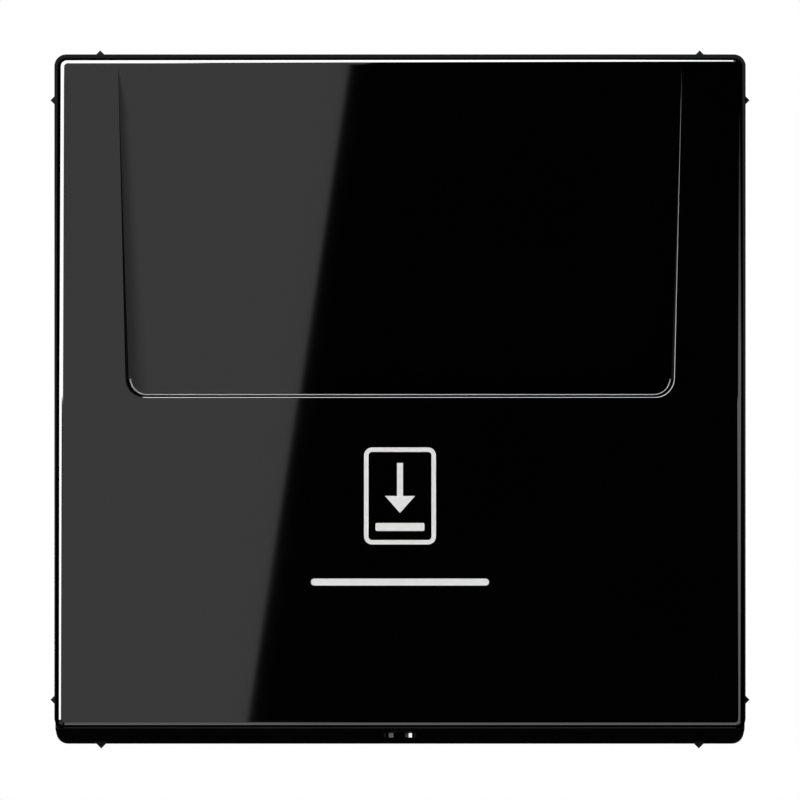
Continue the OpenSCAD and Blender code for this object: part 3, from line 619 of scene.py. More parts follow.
class GrowthTree(NodeGraph):
    """Geometry Nodes tree with named sizes, run once into a plain mesh.

    The tree works in wall coordinates in metres, and is turned into the CAD frame at its end.
    """

    ROUND_STEPS = 40
    FAN_RINGS = 6
    SHARP_FROM = math.radians(35)

    def __init__(self, name: str, sizes: dict[str, float | int]) -> None:
        """Make the tree with its named inputs.

        Args:
            name: Name of the piece that it makes.
            sizes: Value of each input; whole numbers are counts.
        """
        super().__init__(bpy.data.node_groups.new(name, "GeometryNodeTree"))
        self.name = name
        self.tree.is_modifier = True
        self.values: dict[str, float | int] = {}
        for label, value in sizes.items():
            kind = "NodeSocketInt" if isinstance(value, int) else "NodeSocketFloat"
            item = self.tree.interface.new_socket(label, in_out="INPUT", socket_type=kind)
            self.values[item.identifier] = value
        self.tree.interface.new_socket("Geometry", in_out="OUTPUT", socket_type="NodeSocketGeometry")
        self.size = self.add("NodeGroupInput").outputs

    def drum(self, radius: Any, depth: Any, middle: Any) -> tuple[bpy.types.NodeSocket, bpy.types.Node]:
        """Add a round drum along z.

        Args:
            radius: Its radius.
            depth: Its length.
            middle: Height of its middle.

        Returns:
            The moved drum, and the node that made it.
        """
        made = self.add("GeometryNodeMeshCylinder", {
            "Vertices": self.ROUND_STEPS, "Fill Segments": self.FAN_RINGS, "Radius": radius, "Depth": depth},
            fill_type="TRIANGLE_FAN")
        return self.move(made.outputs["Mesh"], middle), made

    def move(self, mesh: bpy.types.NodeSocket, height: Any) -> bpy.types.NodeSocket:
        """Return a mesh moved along z."""
        way = self.add("ShaderNodeCombineXYZ", {"Z": height}).outputs[0]
        return self.add("GeometryNodeTransform", {"Geometry": mesh, "Translation": way}).outputs[0]

    def crown(self, mesh: bpy.types.NodeSocket, end: bpy.types.NodeSocket, radius: Any,
              height: Any) -> bpy.types.NodeSocket:
        """Dome one end of a drum.

        Args:
            mesh: The drum.
            end: Selection of the end's points.
            radius: The drum's radius.
            height: How far the rim is pulled along z against the middle.

        Returns:
            The domed drum.
        """
        spot = self.add("GeometryNodeInputPosition").outputs[0]
        across = self.add("ShaderNodeVectorMath", {0: spot, 1: (1, 1, 0)}, operation="MULTIPLY").outputs[0]
        length = self.add("ShaderNodeVectorMath", {0: across}, operation="LENGTH").outputs["Value"]
        share = self.math("POWER", self.math("DIVIDE", length, radius), 2.0)
        pull = self.add("ShaderNodeCombineXYZ", {"Z": self.math("MULTIPLY", share, height)}).outputs[0]
        return self.add("GeometryNodeSetPosition", {
            "Geometry": mesh, "Selection": end, "Offset": pull}).outputs[0]

    def corners(self) -> bpy.types.NodeSocket:
        """Return the corners of a grid of the sizes Spacing across and Spacing up."""
        return self.add("GeometryNodeMeshGrid", {
            "Size X": self.size["Spacing across"], "Size Y": self.size["Spacing up"],
            "Vertices X": 2, "Vertices Y": 2}).outputs["Mesh"]

    def joined(self, *meshes: bpy.types.NodeSocket) -> bpy.types.NodeSocket:
        """Return meshes fused into one closed shape."""
        return self.add("GeometryNodeMeshBoolean", {"Mesh 2": list(meshes)},
                        operation="UNION", solver="EXACT").outputs[0]

    def grow(self, points: bpy.types.NodeSocket, shape: bpy.types.NodeSocket,
             finish: Finish) -> bpy.types.Object:
        """Set the shape on the points and run the tree.

        Args:
            points: Points that each get one copy.
            shape: The shape.
            finish: Finish of all copies.

        Returns:
            The object, with a plain mesh.
        """
        copies = self.add("GeometryNodeInstanceOnPoints", {"Points": points, "Instance": shape}).outputs[0]
        turned = self.add("GeometryNodeTransform", {
            "Geometry": copies, "Rotation": (math.pi / 2, 0, 0)}).outputs[0]
        real = self.add("GeometryNodeRealizeInstances", {"Geometry": turned}).outputs[0]
        done = self.add("GeometryNodeSetMaterial", {
            "Geometry": real, "Material": finish.material()}).outputs[0]
        self.add("NodeGroupOutput", {"Geometry": done})
        made = link(self.name, bpy.data.meshes.new(self.name))
        run = made.modifiers.new("growth", "NODES")
        run.node_group = self.tree
        for identifier, value in self.values.items():
            run[identifier] = value
        graph = bpy.context.evaluated_depsgraph_get()
        mesh = bpy.data.meshes.new_from_object(made.evaluated_get(graph), depsgraph=graph)
        made.modifiers.clear()
        made.data = mesh
        mesh.shade_smooth()
        mesh.set_sharp_from_angle(angle=self.SHARP_FROM)
        return made


def rounded(width: float, height: float, radius: float, steps: int,
            middle: tuple[float, float] = (0.0, 0.0)) -> list[tuple[float, float, float]]:
    """Outline of a rounded rectangle, anticlockwise.

    Args:
        width: Its width.
        height: Its height.
        radius: Its corner radius.
        steps: Steps in each corner.
        middle: Its centre.

    Returns:
        Each point's x and y and the turn of its outward direction.
    """
    made = []
    for corner in range(4):
        for step in range(steps + 1):
            turn = math.radians(90 * corner + 90 * step / steps)
            x_side = 1 if corner in (0, 3) else -1
            y_side = 1 if corner in (0, 1) else -1
            made.append((middle[0] + x_side * (width / 2 - radius) + radius * math.cos(turn),
                         middle[1] + y_side * (height / 2 - radius) + radius * math.sin(turn), turn))
    return made


# Sub-assemblies

@dataclass
class FrontCover:
    """Gloss black front moulding with the card pocket and the slot, and the carrier behind it."""

    plate_w: float = 70.0
    cover_top: float = 35.0
    cover_h: float = 68.4
    corner_r: float = 1.2
    wall: float = 1.5
    seam_z: float = 5.6
    top_rise: float = 3.0
    tilt: float = FACE_TILT
    draft: float = 0.45
    edge_round: float = 0.75
    # How much further the walls and the lower side draw in at the bottom than at the top
    lower_draft: float = 0.1
    # Share of the inset by which the corners get tighter towards the face
    corner_loss: float = 0.75
    slot_half: float = 27.4
    flare: float = 1.0
    ramp_top: float = 33.5
    lip_y: float = 0.3
    slot_gap: float = 0.19
    pocket_r: float = 1.9
    # Rounding of the pocket's edge for each millimetre of its depth
    pocket_edge: float = 0.03
    tongue_edge: float = 0.1
    # Share by which the pale edge, a painted highlight, is broader at the left arm
    left_highlight_widening: float = 0.8
    tongue_drop: float = 0.035
    liner_t: float = 1.2
    liner_top: float = 32.3
    cavity_in: float = 2.2
    cavity_r: float = 0.5
    card_stop_y: float = -30.0
    rail_z: float = 8.76
    rib_z: float = 9.86
    rib_places: tuple[float, float] = (16.0, 24.0)
    rib_t: float = 1.0
    # The ribs begin above the card's stop and end below the lip
    rib_rise: float = 0.5
    rib_drop: float = 2.0
    corner_steps: int = 10
    edge_steps: int = 10
    pocket_steps: int = 16
    cavity_steps: int = 3
    # Halvings that find where the walls meet the rounding, and the angle below which they do
    touch_rounds: int = 20
    touch_most: float = math.pi / 3

    def front_z(self, y: float) -> float:
        """Return the front face's distance from the wall at a height."""
        return self.seam_z + self.top_rise + (self.cover_top - y) * math.tan(self.tilt)

    def inner_z(self, y: float) -> float:
        """Return the distance of the front wall's inner side from the wall at a height."""
        return self.front_z(y) - self.wall / math.cos(self.tilt)

    def half(self, y: float) -> float:
        """Return half the pocket's width at a height."""
        return self.slot_half + self.flare * (y - self.lip_y) / (self.ramp_top - self.lip_y)

    def on_face(self, x: float, down: float, out: float) -> Vector:
        """Return a point given along the leaning face, from its top edge."""
        c, s = math.cos(self.tilt), math.sin(self.tilt)
        return Vector((x, self.cover_top + down * c + out * s,
                       self.seam_z + self.top_rise - down * s + out * c))

    @property
    def face_normal(self) -> Vector:
        """Outward direction of the front face."""
        return Vector((0, math.sin(self.tilt), math.cos(self.tilt)))

    @property
    def ramp_z(self) -> float:
        """Distance of the card ramp from the wall."""
        return self.front_z(self.ramp_top)

    @property
    def tongue_z(self) -> float:
        """Distance of the ramp's rear side from the wall."""
        return self.ramp_z - self.wall

    @property
    def lean(self) -> float:
        """Angle by which the pocket's sides open upwards."""
        return math.atan(self.flare / (self.ramp_top - self.lip_y))

    def pocket_end(self, inset: float) -> list[Corner]:
        """Rounded lower end of the pocket, from the right arm to the left arm.

        Args:
            inset: How far the outline is drawn in.

        Returns:
            Points at z = 0 with their outward directions.
        """
        turn_y = self.lip_y + self.pocket_r
        centre = self.half(turn_y) - self.pocket_r
        right = []
        for step in range(self.pocket_steps + 1):
            angle = -self.lean + (self.lean - math.pi / 2) * step / self.pocket_steps
            way = Vector((math.cos(angle), math.sin(angle), 0))
            right.append((Vector((centre, turn_y, 0)) + way * (self.pocket_r - inset), way))
        left = [(Vector((-p.x, p.y, 0)), Vector((-n.x, n.y, 0))) for p, n in reversed(right)]
        return right + left

    def edge_ring(self, angles: Sequence[float]) -> list[Corner]:
        """Outline around the rounding of the front edge, each point at its own angle on the arc.

        Args:
            angles: Angle of each point, from 0 at the walls to a right angle at the face.

        Returns:
            Points with their normals.
        """
        slope_h = self.cover_h / math.cos(self.tilt)
        up = Vector((0, math.cos(self.tilt), -math.sin(self.tilt)))
        ring = []
        for k, angle in enumerate(angles):
            inset = self.draft + self.edge_round * (1 - math.cos(angle))
            x, y, turn = rounded(self.plate_w - 2 * inset, slope_h - 2 * inset,
                                 self.corner_r - self.corner_loss * inset, self.corner_steps)[k]
            sideways = Vector((math.cos(turn), 0, 0)) + up * math.sin(turn)
            drawn_in = self.lower_draft * (0.5 - y / slope_h)
            x -= math.copysign(drawn_in, x)
            y += drawn_in
            ring.append((self.on_face(x, y - slope_h / 2, -self.edge_round * (1 - math.sin(angle))),
                         sideways * math.cos(angle) + self.face_normal * math.sin(angle)))
        return ring

    def touch_angles(self, base: Sequence[Vector]) -> list[float]:
        """Find where the walls that rise from the rear edge run into the rounding without a kink.

        Args:
            base: Points of the rear edge.

        Returns:
            Angle on the arc for each point.
        """
        low, high = [0.0] * len(base), [self.touch_most] * len(base)
        for _ in range(self.touch_rounds):
            middle = [(a + b) / 2 for a, b in zip(low, high)]
            for k, (foot, (spot, normal)) in enumerate(zip(base, self.edge_ring(middle))):
                if (foot - spot).dot(normal) > 0:
                    low[k] = middle[k]
                else:
                    high[k] = middle[k]
        return low

    def outside(self, work: Patchwork) -> list[Vector]:
        """Add the outer walls and the rounding around the front face.

        Args:
            work: Mesh in the making.

        Returns:
            Outline of the front face.
        """
        feet = [Vector((x, y, self.seam_z)) for x, y, _ in self.base_outline()]
        starts = self.touch_angles(feet)
        rings = [self.edge_ring([a + (math.pi / 2 - a) * step / self.edge_steps for a in starts])
                 for step in range(self.edge_steps + 1)]
        for low, high in zip(rings, rings[1:]):
            work.strip(low, high, CoverPatch.FACE, closed=True)
        base, wall_top = [], []
        for foot, (_, _, turn), (top, _) in zip(feet, self.base_outline(), rings[0]):
            along = Vector((-math.sin(turn), math.cos(turn), 0))
            facing = along.cross(top - foot).normalized()
            base.append((foot, facing))
            wall_top.append((top, facing))
        work.strip(base, wall_top, CoverPatch.FACE, closed=True)
        return [p for p, _ in rings[-1]]

    def base_outline(self) -> list[tuple[float, float, float]]:
        """Return the outline of the cover's rear edge."""
        middle = (0.0, self.cover_top - self.cover_h / 2)
        return rounded(self.plate_w, self.cover_h, self.corner_r, self.corner_steps, middle)

    def cavity_outline(self) -> list[tuple[float, float, float]]:
        """Return the outline of the hollow behind the cover."""
        inset = 2 * self.cavity_in
        middle = (0.0, self.cover_top - self.cover_h / 2)
        return rounded(self.plate_w - inset, self.cover_h - inset, self.cavity_r, self.cavity_steps, middle)

    def pocket(self, work: Patchwork, face: list[Vector]) -> None:
        """Add the front face with the pocket's edge, its walls, its floor and what lies behind it.

        Args:
            work: Mesh in the making.
            face: Outline of the front face.
        """
        tops = [Vector((side * self.half(self.ramp_top), self.ramp_top, self.ramp_z)) for side in (1, -1)]
        end = self.pocket_end(0.0)
        rails: list[list[Corner]] = []
        for step in range(self.edge_steps + 1):
            angle = math.pi / 2 * step / self.edge_steps
            rail = []
            for p, n in end:
                edge = self.pocket_edge * (self.front_z(p.y) - self.ramp_z)
                spot = p + n * edge * (1 - math.sin(angle))
                spot.z = self.front_z(spot.y) - edge * (1 - math.cos(angle))
                rail.append((spot, self.face_normal * math.cos(angle) - n * math.sin(angle)))
            rails.append(rail)
        work.flat([face, [tops[0]] + [p for p, _ in rails[0]] + [tops[1]]], self.face_normal, CoverPatch.FACE)
        for low, high in zip(rails, rails[1:]):
            work.strip(low, high, CoverPatch.FACE)
            # The left arm's rounding takes the wall's finish: painted shade on the pocket's left edge
            for arm, top, finish in ((0, tops[0], CoverPatch.FACE), (-1, tops[1], CoverPatch.WALL)):
                work.face([(top, low[arm][1] + high[arm][1]), low[arm], high[arm]], finish)
        inner = [(Vector((p.x, p.y, self.inner_z(p.y))), -n) for p, n in end]
        work.strip(rails[-1], inner, CoverPatch.WALL)
        for arm, top in ((0, tops[0]), (-1, tops[1])):
            facing = -end[arm][1]
            foot = Vector((end[arm][0].x, end[arm][0].y, self.ramp_z))
            work.face([(p, facing) for p in (top, rails[-1][arm][0], inner[arm][0], foot)], CoverPatch.WALL)
        self.liner(work, end, *self.tongue(work, tops, end))

    def tongue(self, work: Patchwork, tops: list[Vector],
               end: list[Corner]) -> tuple[list[list[Corner]], list[Corner]]:
        """Add the pocket's floor and the tongue at its end.

        Args:
            work: Mesh in the making.
            tops: Upper right and upper left corner of the floor.
            end: Lower end of the pocket's outline.

        Returns:
            Rails along the tongue's pale edge with its painted highlight, and its rear edge.
        """
        outline = self.pocket_end(self.slot_gap)
        rails: list[list[Corner]] = []
        for step in range(self.edge_steps + 1):
            angle = math.pi / 2 * step / self.edge_steps
            level = OUT * (self.ramp_z - self.tongue_drop * (1 - math.cos(angle)))
            rail = []
            for p, n in outline:
                width = self.tongue_edge * (1 + self.left_highlight_widening * max(0.0, -n.x))
                facing = OUT * math.cos(angle) / self.tongue_drop + n * math.sin(angle) / self.tongue_edge
                rail.append((p - n * width * (1 - math.sin(angle)) + level, facing))
            rails.append(rail)
        corners = [end[arm][0] + OUT * self.ramp_z for arm in (0, -1)]
        work.flat([[tops[1], tops[0], corners[0]] + [p for p, _ in rails[0]] + [corners[1]]],
                  OUT, CoverPatch.FLOOR)
        for low, high in zip(rails, rails[1:]):
            # The tongue's pale edge is a painted highlight
            work.strip(low, high, CoverPatch.EDGE)
        rear = [(p + OUT * self.tongue_z, n) for p, n in outline]
        work.strip(rails[-1], rear, CoverPatch.WALL)
        return rails, rear

    def liner(self, work: Patchwork, end: list[Corner], rails: list[list[Corner]],
              rear: list[Corner]) -> None:
        """Add the liner that carries the tongue, and the hollow around it.

        Args:
            work: Mesh in the making.
            end: Lower end of the pocket's outline.
            rails: Rails along the tongue's pale edge with its painted highlight.
            rear: Rear edge of the tongue.
        """
        feet = [end[arm][0] + end[arm][1] * self.liner_t for arm in (0, -1)]
        for arm, foot, side in zip((0, -1), feet, (1, -1)):
            spot, out = end[arm]
            lips = [rail[arm][0] for rail in rails]
            shape = [Vector((p.x, p.y, self.inner_z(p.y))) for p in (spot, foot)]
            shape += [foot + OUT * self.tongue_z, rear[arm][0], *reversed(lips), spot + OUT * self.ramp_z]
            work.flat([shape], Vector((out.y * side, -abs(out.x), 0)), CoverPatch.WALL)
        head_x = self.half(self.liner_top) + self.liner_t
        heads = [Vector((side * head_x, self.liner_top, 0)) for side in (1, -1)]
        loop = [feet[0], *heads, feet[1]]
        for a, b, facing in zip(loop, loop[1:], (end[0][1], UP, end[-1][1])):
            spots = ((a, self.inner_z(a.y)), (b, self.inner_z(b.y)), (b, self.tongue_z), (a, self.tongue_z))
            work.face([(Vector((p.x, p.y, z)), facing) for p, z in spots], CoverPatch.WALL)
        work.flat([[p + OUT * self.tongue_z for p in loop] + [p for p, _ in reversed(rear)]],
                  -OUT, CoverPatch.WALL)
        self.hollow(work, loop + [p for p, _ in reversed(end)])

    def hollow(self, work: Patchwork, hole: list[Vector]) -> None:
        """Add the inner side of the front wall, the hollow's walls and the cover's rear edge.

        Args:
            work: Mesh in the making.
            hole: Outline of the liner and of the pocket's end.
        """
        cavity = self.cavity_outline()
        inside = [Vector((x, y, self.inner_z(y))) for x, y, _ in cavity]
        seam = [Vector((x, y, self.seam_z)) for x, y, _ in cavity]
        inward = [Vector((-math.cos(turn), -math.sin(turn), 0)) for _, _, turn in cavity]
        work.flat([inside, [Vector((p.x, p.y, self.inner_z(p.y))) for p in hole]],
                  -self.face_normal, CoverPatch.WALL)
        work.strip(list(zip(inside, inward)), list(zip(seam, inward)), CoverPatch.WALL, closed=True)
        work.flat([[Vector((x, y, self.seam_z)) for x, y, _ in self.base_outline()], seam],
                  -OUT, CoverPatch.WALL)

    def bar(self, work: Patchwork, x0: float, x1: float, y0: float, y1: float, z: float) -> None:
        """Add a bar that hangs from the inner side of the front wall.

        Args:
            work: Mesh in the making.
            x0: Its left side.
            x1: Its right side.
            y0: Its lower end.
            y1: Its upper end.
            z: Distance of its rear side from the wall.
        """
        spots = ((x0, y0), (x1, y0), (x1, y1), (x0, y1))
        work.solid([Vector((x, y, z)) for x, y in spots],
                   [Vector((x, y, self.front_z(y) - self.wall / 2)) for x, y in spots], CoverPatch.WALL)

    def build(self) -> None:
        """Build the cover."""
        work = Patchwork()
        self.pocket(work, self.outside(work))
        rail_x = self.half(self.lip_y + self.pocket_r)
        for side in (1, -1):
            rail = sorted((side * rail_x, side * (rail_x + self.wall)))
            self.bar(work, *rail, self.card_stop_y, self.lip_y, self.rail_z)
            for place in self.rib_places:
                rib_x = side * place
                self.bar(work, rib_x - self.rib_t / 2, rib_x + self.rib_t / 2,
                         self.card_stop_y + self.rib_rise, self.lip_y - self.rib_drop, self.rib_z)
        floor = PocketFloor("gloss_black_abs_floor_painted_shade", half_width=self.half(0.0),
                            flare_height=(self.ramp_top - self.lip_y) / self.flare, ramp_top=self.ramp_top)
        shell = work.piece("cover_shell", (COVER_FACE, floor, COVER_PAINTED_HIGHLIGHT, COVER_WALL_PAINTED_SHADE))
        settle(shell, Slot.GLOSS_BLACK, "front_cover")

    def dress(self) -> None:
        """Finish the carried-over carrier."""
        paint(CARRIER, "carrier")


@dataclass
class CardSign:
    """Print below the slot: a plain card with an arrow for the way it goes in, and a bar below it."""

    cover: FrontCover
    ink_t: float = 0.015
    card_w: float = 7.2
    card_h: float = 9.7
    card_r: float = 0.8
    card_y: float = -9.6
    card_line: float = 0.45
    stripe_w: float = 4.9
    stripe_h: float = 0.8
    stripe_r: float = 0.15
    stripe_y: float = -12.7
    shaft_w: float = 0.6
    shaft_top: float = -6.3
    head_w: float = 3.0
    head_y: float = -9.6
    tip_y: float = -11.3
    bar_w: float = 17.8
    bar_h: float = 0.7
    bar_r: float = 0.34
    bar_y: float = -18.2
    outer_steps: int = 8
    inner_steps: int = 6
    stripe_steps: int = 4

    def plate(self, width: float, height: float, radius: float, steps: int,
              up: float) -> list[tuple[float, float]]:
        """Outline of a rounded shape in the middle of the face.

        Args:
            width: Its width.
            height: Its height.
            radius: Its corner radius.
            steps: Steps in each corner.
            up: Height of its middle.

        Returns:
            Its points, anticlockwise.
        """
        return [(x, y) for x, y, _ in rounded(width, height, radius, steps, (0.0, up))]

    def stamp(self, work: Patchwork, *loops: Sequence[tuple[float, float]]) -> None:
        """Add a flat printed shape on the front face.

        Args:
            work: Mesh in the making.
            *loops: Outline, anticlockwise, and then holes, clockwise.
        """
        facing = self.cover.face_normal
        levels = [[[Vector((x, y, self.cover.front_z(y))) + facing * level for x, y in loop]
                   for loop in loops] for level in (-self.ink_t, self.ink_t)]
        for low, high in zip(*levels):
            for i in range(len(low)):
                j = (i + 1) % len(low)
                side = (low[j] - low[i]).cross(facing).normalized()
                work.face([(p, side) for p in (low[i], low[j], high[j], high[i])], 0)
        work.flat(levels[0], -facing, 0)
        work.flat(levels[1], facing, 0)

    def build(self) -> None:
        """Print the card, its stripe, the arrow and the bar."""
        work = Patchwork()
        line, shaft, head = 2 * self.card_line, self.shaft_w / 2, self.head_w / 2
        card = self.plate(self.card_w, self.card_h, self.card_r, self.outer_steps, self.card_y)
        window = self.plate(self.card_w - line, self.card_h - line, self.card_r - self.card_line,
                            self.inner_steps, self.card_y)
        self.stamp(work, card, window[::-1])
        self.stamp(work, self.plate(self.stripe_w, self.stripe_h, self.stripe_r, self.stripe_steps,
                                    self.stripe_y))
        self.stamp(work, [(-shaft, self.shaft_top), (-shaft, self.head_y), (-head, self.head_y),
                          (0.0, self.tip_y), (head, self.head_y), (shaft, self.head_y),
                          (shaft, self.shaft_top)])
        self.stamp(work, self.plate(self.bar_w, self.bar_h, self.bar_r, self.outer_steps, self.bar_y))
        settle(work.piece("card_sign_print", (INK,)), Slot.INSERT_WHITE)


@dataclass
class CardLever:
    """Sprung lever that the card presses, on its pins."""

    def dress(self) -> None:
        """Finish the lever and its pins."""
        paint(LEVER, "card_lever")
        paint(ZINC, "lever_pins")


@dataclass
class OrientationLight:
    """Lamp in its holder, and the guide that brings its light to the outlet in the carrier's foot."""

    guide_w: float = 3.2
    guide_t: float = 1.3
    guide_r: float = 0.64
    guide_z: float = 4.28
    guide_start: float = -29.6
    foot_y: float = -35.0
    foot_z: float = 2.2
    foot_lean: float = math.atan(0.5)
    proud: float = 0.05
    # Distances from the wall between which the facets with painted highlights lie, and the left and right
    # side of each
    facet_from: float = 3.8
    facet_to: float = 4.74
    facets: tuple[tuple[float, float, GuidePatch], ...] = (
        (-1.14, -0.65, GuidePatch.HIGHLIGHT_GREY), (0.53, 0.87, GuidePatch.HIGHLIGHT_SHADED), (0.88, 1.21, GuidePatch.HIGHLIGHT_BRIGHT),
        (-1.58, -1.42, GuidePatch.HIGHLIGHT_END), (1.42, 1.58, GuidePatch.HIGHLIGHT_END))
    facet_t: float = 0.02
    steps: int = 8

    def end_y(self, z: float) -> float:
        """Return the height of the guide's slanting end at a distance from the wall."""
        rise = (z - self.foot_z) * math.sin(self.foot_lean) - self.proud
        return self.foot_y + rise / math.cos(self.foot_lean)

    def build(self) -> None:
        """Build the light guide."""
        work = Patchwork()
        facing = Vector((0, -math.cos(self.foot_lean), math.sin(self.foot_lean)))
        section = rounded(self.guide_w, self.guide_t, self.guide_r, self.steps, (0.0, self.guide_z))
        outward = [Vector((math.cos(turn), 0, math.sin(turn))) for _, _, turn in section]
        start = [(Vector((x, self.guide_start, z)), n) for (x, z, _), n in zip(section, outward)]
        end = [(Vector((x, self.end_y(z), z)), n) for (x, z, _), n in zip(section, outward)]
        work.strip(start, end, GuidePatch.BAR, closed=True)
        work.flat([[p for p, _ in start]], UP, GuidePatch.BAR)
        work.flat([[p for p, _ in end]], facing, GuidePatch.BAR)
        # Squares with painted highlights on the guide's end
        for x0, x1, patch in self.facets:
            spots = ((x0, self.facet_from), (x1, self.facet_from), (x1, self.facet_to), (x0, self.facet_to))
            seat = [Vector((x, self.end_y(z), z)) for x, z in spots]
            work.solid([p - facing * self.facet_t for p in seat],
                       [p + facing * self.facet_t for p in seat], patch)
        bar = work.piece("light_guide_bar", (GUIDE, PAINTED_GREY_GLINT, PAINTED_SHADED_GLINT, PAINTED_BRIGHT_GLINT, PAINTED_END_GLINT))
        settle(bar, Slot.CLEAR_PLASTIC, "light_guide")

    def dress(self) -> None:
        """Finish the lamp, its holder and its leads."""
        paint(EPOXY, "lamp")
        paint(GREY, "lamp_holder")
        paint(ZINC, "lamp_leads")


@dataclass
class SwitchInsert:
    """Insert in the wall box: support ring, tray, rocker with its springs, housing and rear plate."""

    rivet_x: float = 19.98
    rivet_y: float = 22.98
    rivet_d: float = 2.4
    rivet_head_d: float = 4.0
    rivet_head_h: float = 0.8
    # Shares of the head's height that its dome takes, and that the shank reaches into
    rivet_dome: float = 0.55
    rivet_root: float = 0.2
    flange_z: float = 2.4
    screw_x: float = 15.5
    screw_y: float = 18.5
    screw_d: float = 2.0
    screw_head_d: float = 3.8
    screw_low: float = -24.0
    screw_seat: float = -22.7
    screw_tip: float = 1.4
    screw_dome: float = 0.35
    screw_root: float = 0.3
    recess_w: float = 0.5
    recess_l: float = 2.43
    recess_depth: float = 0.8
    spring_x: float = 6.5
    spring_y: float = -17.5
    spring_d: float = 4.0
    spring_wire: float = 0.5
    spring_turns: float = 7.0
    spring_low: float = -9.65
    spring_high: float = 1.7
    spring_steps: int = 28
    wire_steps: int = 10
    # Share of the springs' length that is left when the rocker is pressed
    spring_keep: float = 0.89

    def rivets(self) -> bpy.types.Object:
        """Grow the four rivets with their domed heads."""
        grown = GrowthTree("ring_rivet_set", {
            "Spacing across": 2 * self.rivet_x * MM, "Spacing up": 2 * self.rivet_y * MM,
            "Shank radius": self.rivet_d / 2 * MM, "Head radius": self.rivet_head_d / 2 * MM,
            "Head height": self.rivet_head_h * MM, "Seat": self.flange_z * MM})
        size = grown.size
        head, made = grown.drum(size["Head radius"], size["Head height"],
                                grown.math("MULTIPLY_ADD", size["Head height"], 0.5, size["Seat"]))
        dome = grown.crown(head, made.outputs["Top"], size["Head radius"],
                           grown.math("MULTIPLY", size["Head height"], -self.rivet_dome))
        length = grown.math("MULTIPLY_ADD", size["Head height"], self.rivet_root, size["Seat"])
        shank, _ = grown.drum(size["Shank radius"], length, grown.math("MULTIPLY", length, 0.5))
        return grown.grow(grown.corners(), grown.joined(dome, shank), ZINC)

    def screws(self) -> bpy.types.Object:
        """Grow the four screws with their cross recesses."""
        grown = GrowthTree("housing_screw_set", {
            "Spacing across": 2 * self.screw_x * MM, "Spacing up": 2 * self.screw_y * MM,
            "Shank radius": self.screw_d / 2 * MM, "Head radius": self.screw_head_d / 2 * MM,
            "Head end": self.screw_low * MM, "Head seat": self.screw_seat * MM, "Tip": self.screw_tip * MM,
            "Recess width": self.recess_w * MM, "Recess length": self.recess_l * MM,
            "Recess depth": self.recess_depth * MM})
        size = grown.size
        depth = grown.math("SUBTRACT", size["Head seat"], size["Head end"])
        head, made = grown.drum(size["Head radius"], depth,
                                grown.math("MULTIPLY_ADD", depth, 0.5, size["Head end"]))
        pan = grown.crown(head, made.outputs["Bottom"], size["Head radius"],
                          grown.math("MULTIPLY", depth, self.screw_dome))
        length = grown.math("MULTIPLY_ADD", depth, self.screw_root,
                            grown.math("SUBTRACT", size["Tip"], size["Head seat"]))
        shank, _ = grown.drum(size["Shank radius"], length,
                              grown.math("SUBTRACT", size["Tip"], grown.math("MULTIPLY", length, 0.5)))
        body = grown.joined(pan, shank)
        for across, along in (("Recess length", "Recess width"), ("Recess width", "Recess length")):
            block = grown.add("ShaderNodeCombineXYZ", {
                "X": size[across], "Y": size[along],
                "Z": grown.math("MULTIPLY", size["Recess depth"], 2.0)}).outputs[0]
            cut = grown.add("GeometryNodeMeshCube", {"Size": block}).outputs["Mesh"]
            body = grown.add("GeometryNodeMeshBoolean", {
                "Mesh 1": body, "Mesh 2": grown.move(cut, size["Head end"])},
                operation="DIFFERENCE", solver="EXACT").outputs[0]
        return grown.grow(grown.corners(), body, ZINC)

    def springs(self) -> bpy.types.Object:
        """Wind the two return springs along a spiral."""
        grown = GrowthTree("return_spring_pair", {
            "Spacing": 2 * self.spring_x * MM, "Place": self.spring_y * MM, "Low end": self.spring_low * MM,
            "Length": (self.spring_high - self.spring_low) * MM, "Turns": self.spring_turns,
            "Radius": self.spring_d / 2 * MM, "Wire radius": self.spring_wire / 2 * MM,
            "Steps in a turn": self.spring_steps, "Steps around the wire": self.wire_steps})
        size = grown.size
        line = grown.add("GeometryNodeCurveSpiral", {
            "Resolution": size["Steps in a turn"], "Rotations": size["Turns"], "Start Radius": size["Radius"],
            "End Radius": size["Radius"], "Height": size["Length"]}).outputs[0]
        ring = grown.add("GeometryNodeCurvePrimitiveCircle", {
            "Resolution": size["Steps around the wire"], "Radius": size["Wire radius"]}).outputs[0]
        coil = grown.add("GeometryNodeCurveToMesh", {
            "Curve": line, "Profile Curve": ring, "Fill Caps": True}).outputs[0]
        start = grown.add("ShaderNodeCombineXYZ", {
            "X": grown.math("MULTIPLY", size["Spacing"], -0.5), "Y": size["Place"],
            "Z": size["Low end"]}).outputs[0]
        step = grown.add("ShaderNodeCombineXYZ", {"X": size["Spacing"]}).outputs[0]
        places = grown.add("GeometryNodeMeshLine", {
            "Count": 2, "Start Location": start, "Offset": step}, mode="OFFSET").outputs[0]
        return grown.grow(places, coil, WIRE)

    def build(self) -> None:
        """Build the rivets, the screws and the springs."""
        settle(self.rivets(), Slot.ZINC_STEEL, "ring_rivets")
        settle(self.screws(), Slot.ZINC_STEEL, "housing_screws")
        coils = settle(self.springs(), Slot.SPRING_STEEL, "return_springs")
        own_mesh(coils)

    def dress(self) -> None:
        """Finish the carried-over parts of the insert."""
        paint(ZINC, "support_ring", "contact_pin")
        paint(WHITE, "insert_tray", "switch_rocker")
        paint(GREY, "insert_housing", "terminal_cover")
        paint(COPPER, "contact_arm")
        paint(SILVER, "moving_contact", "fixed_contact")


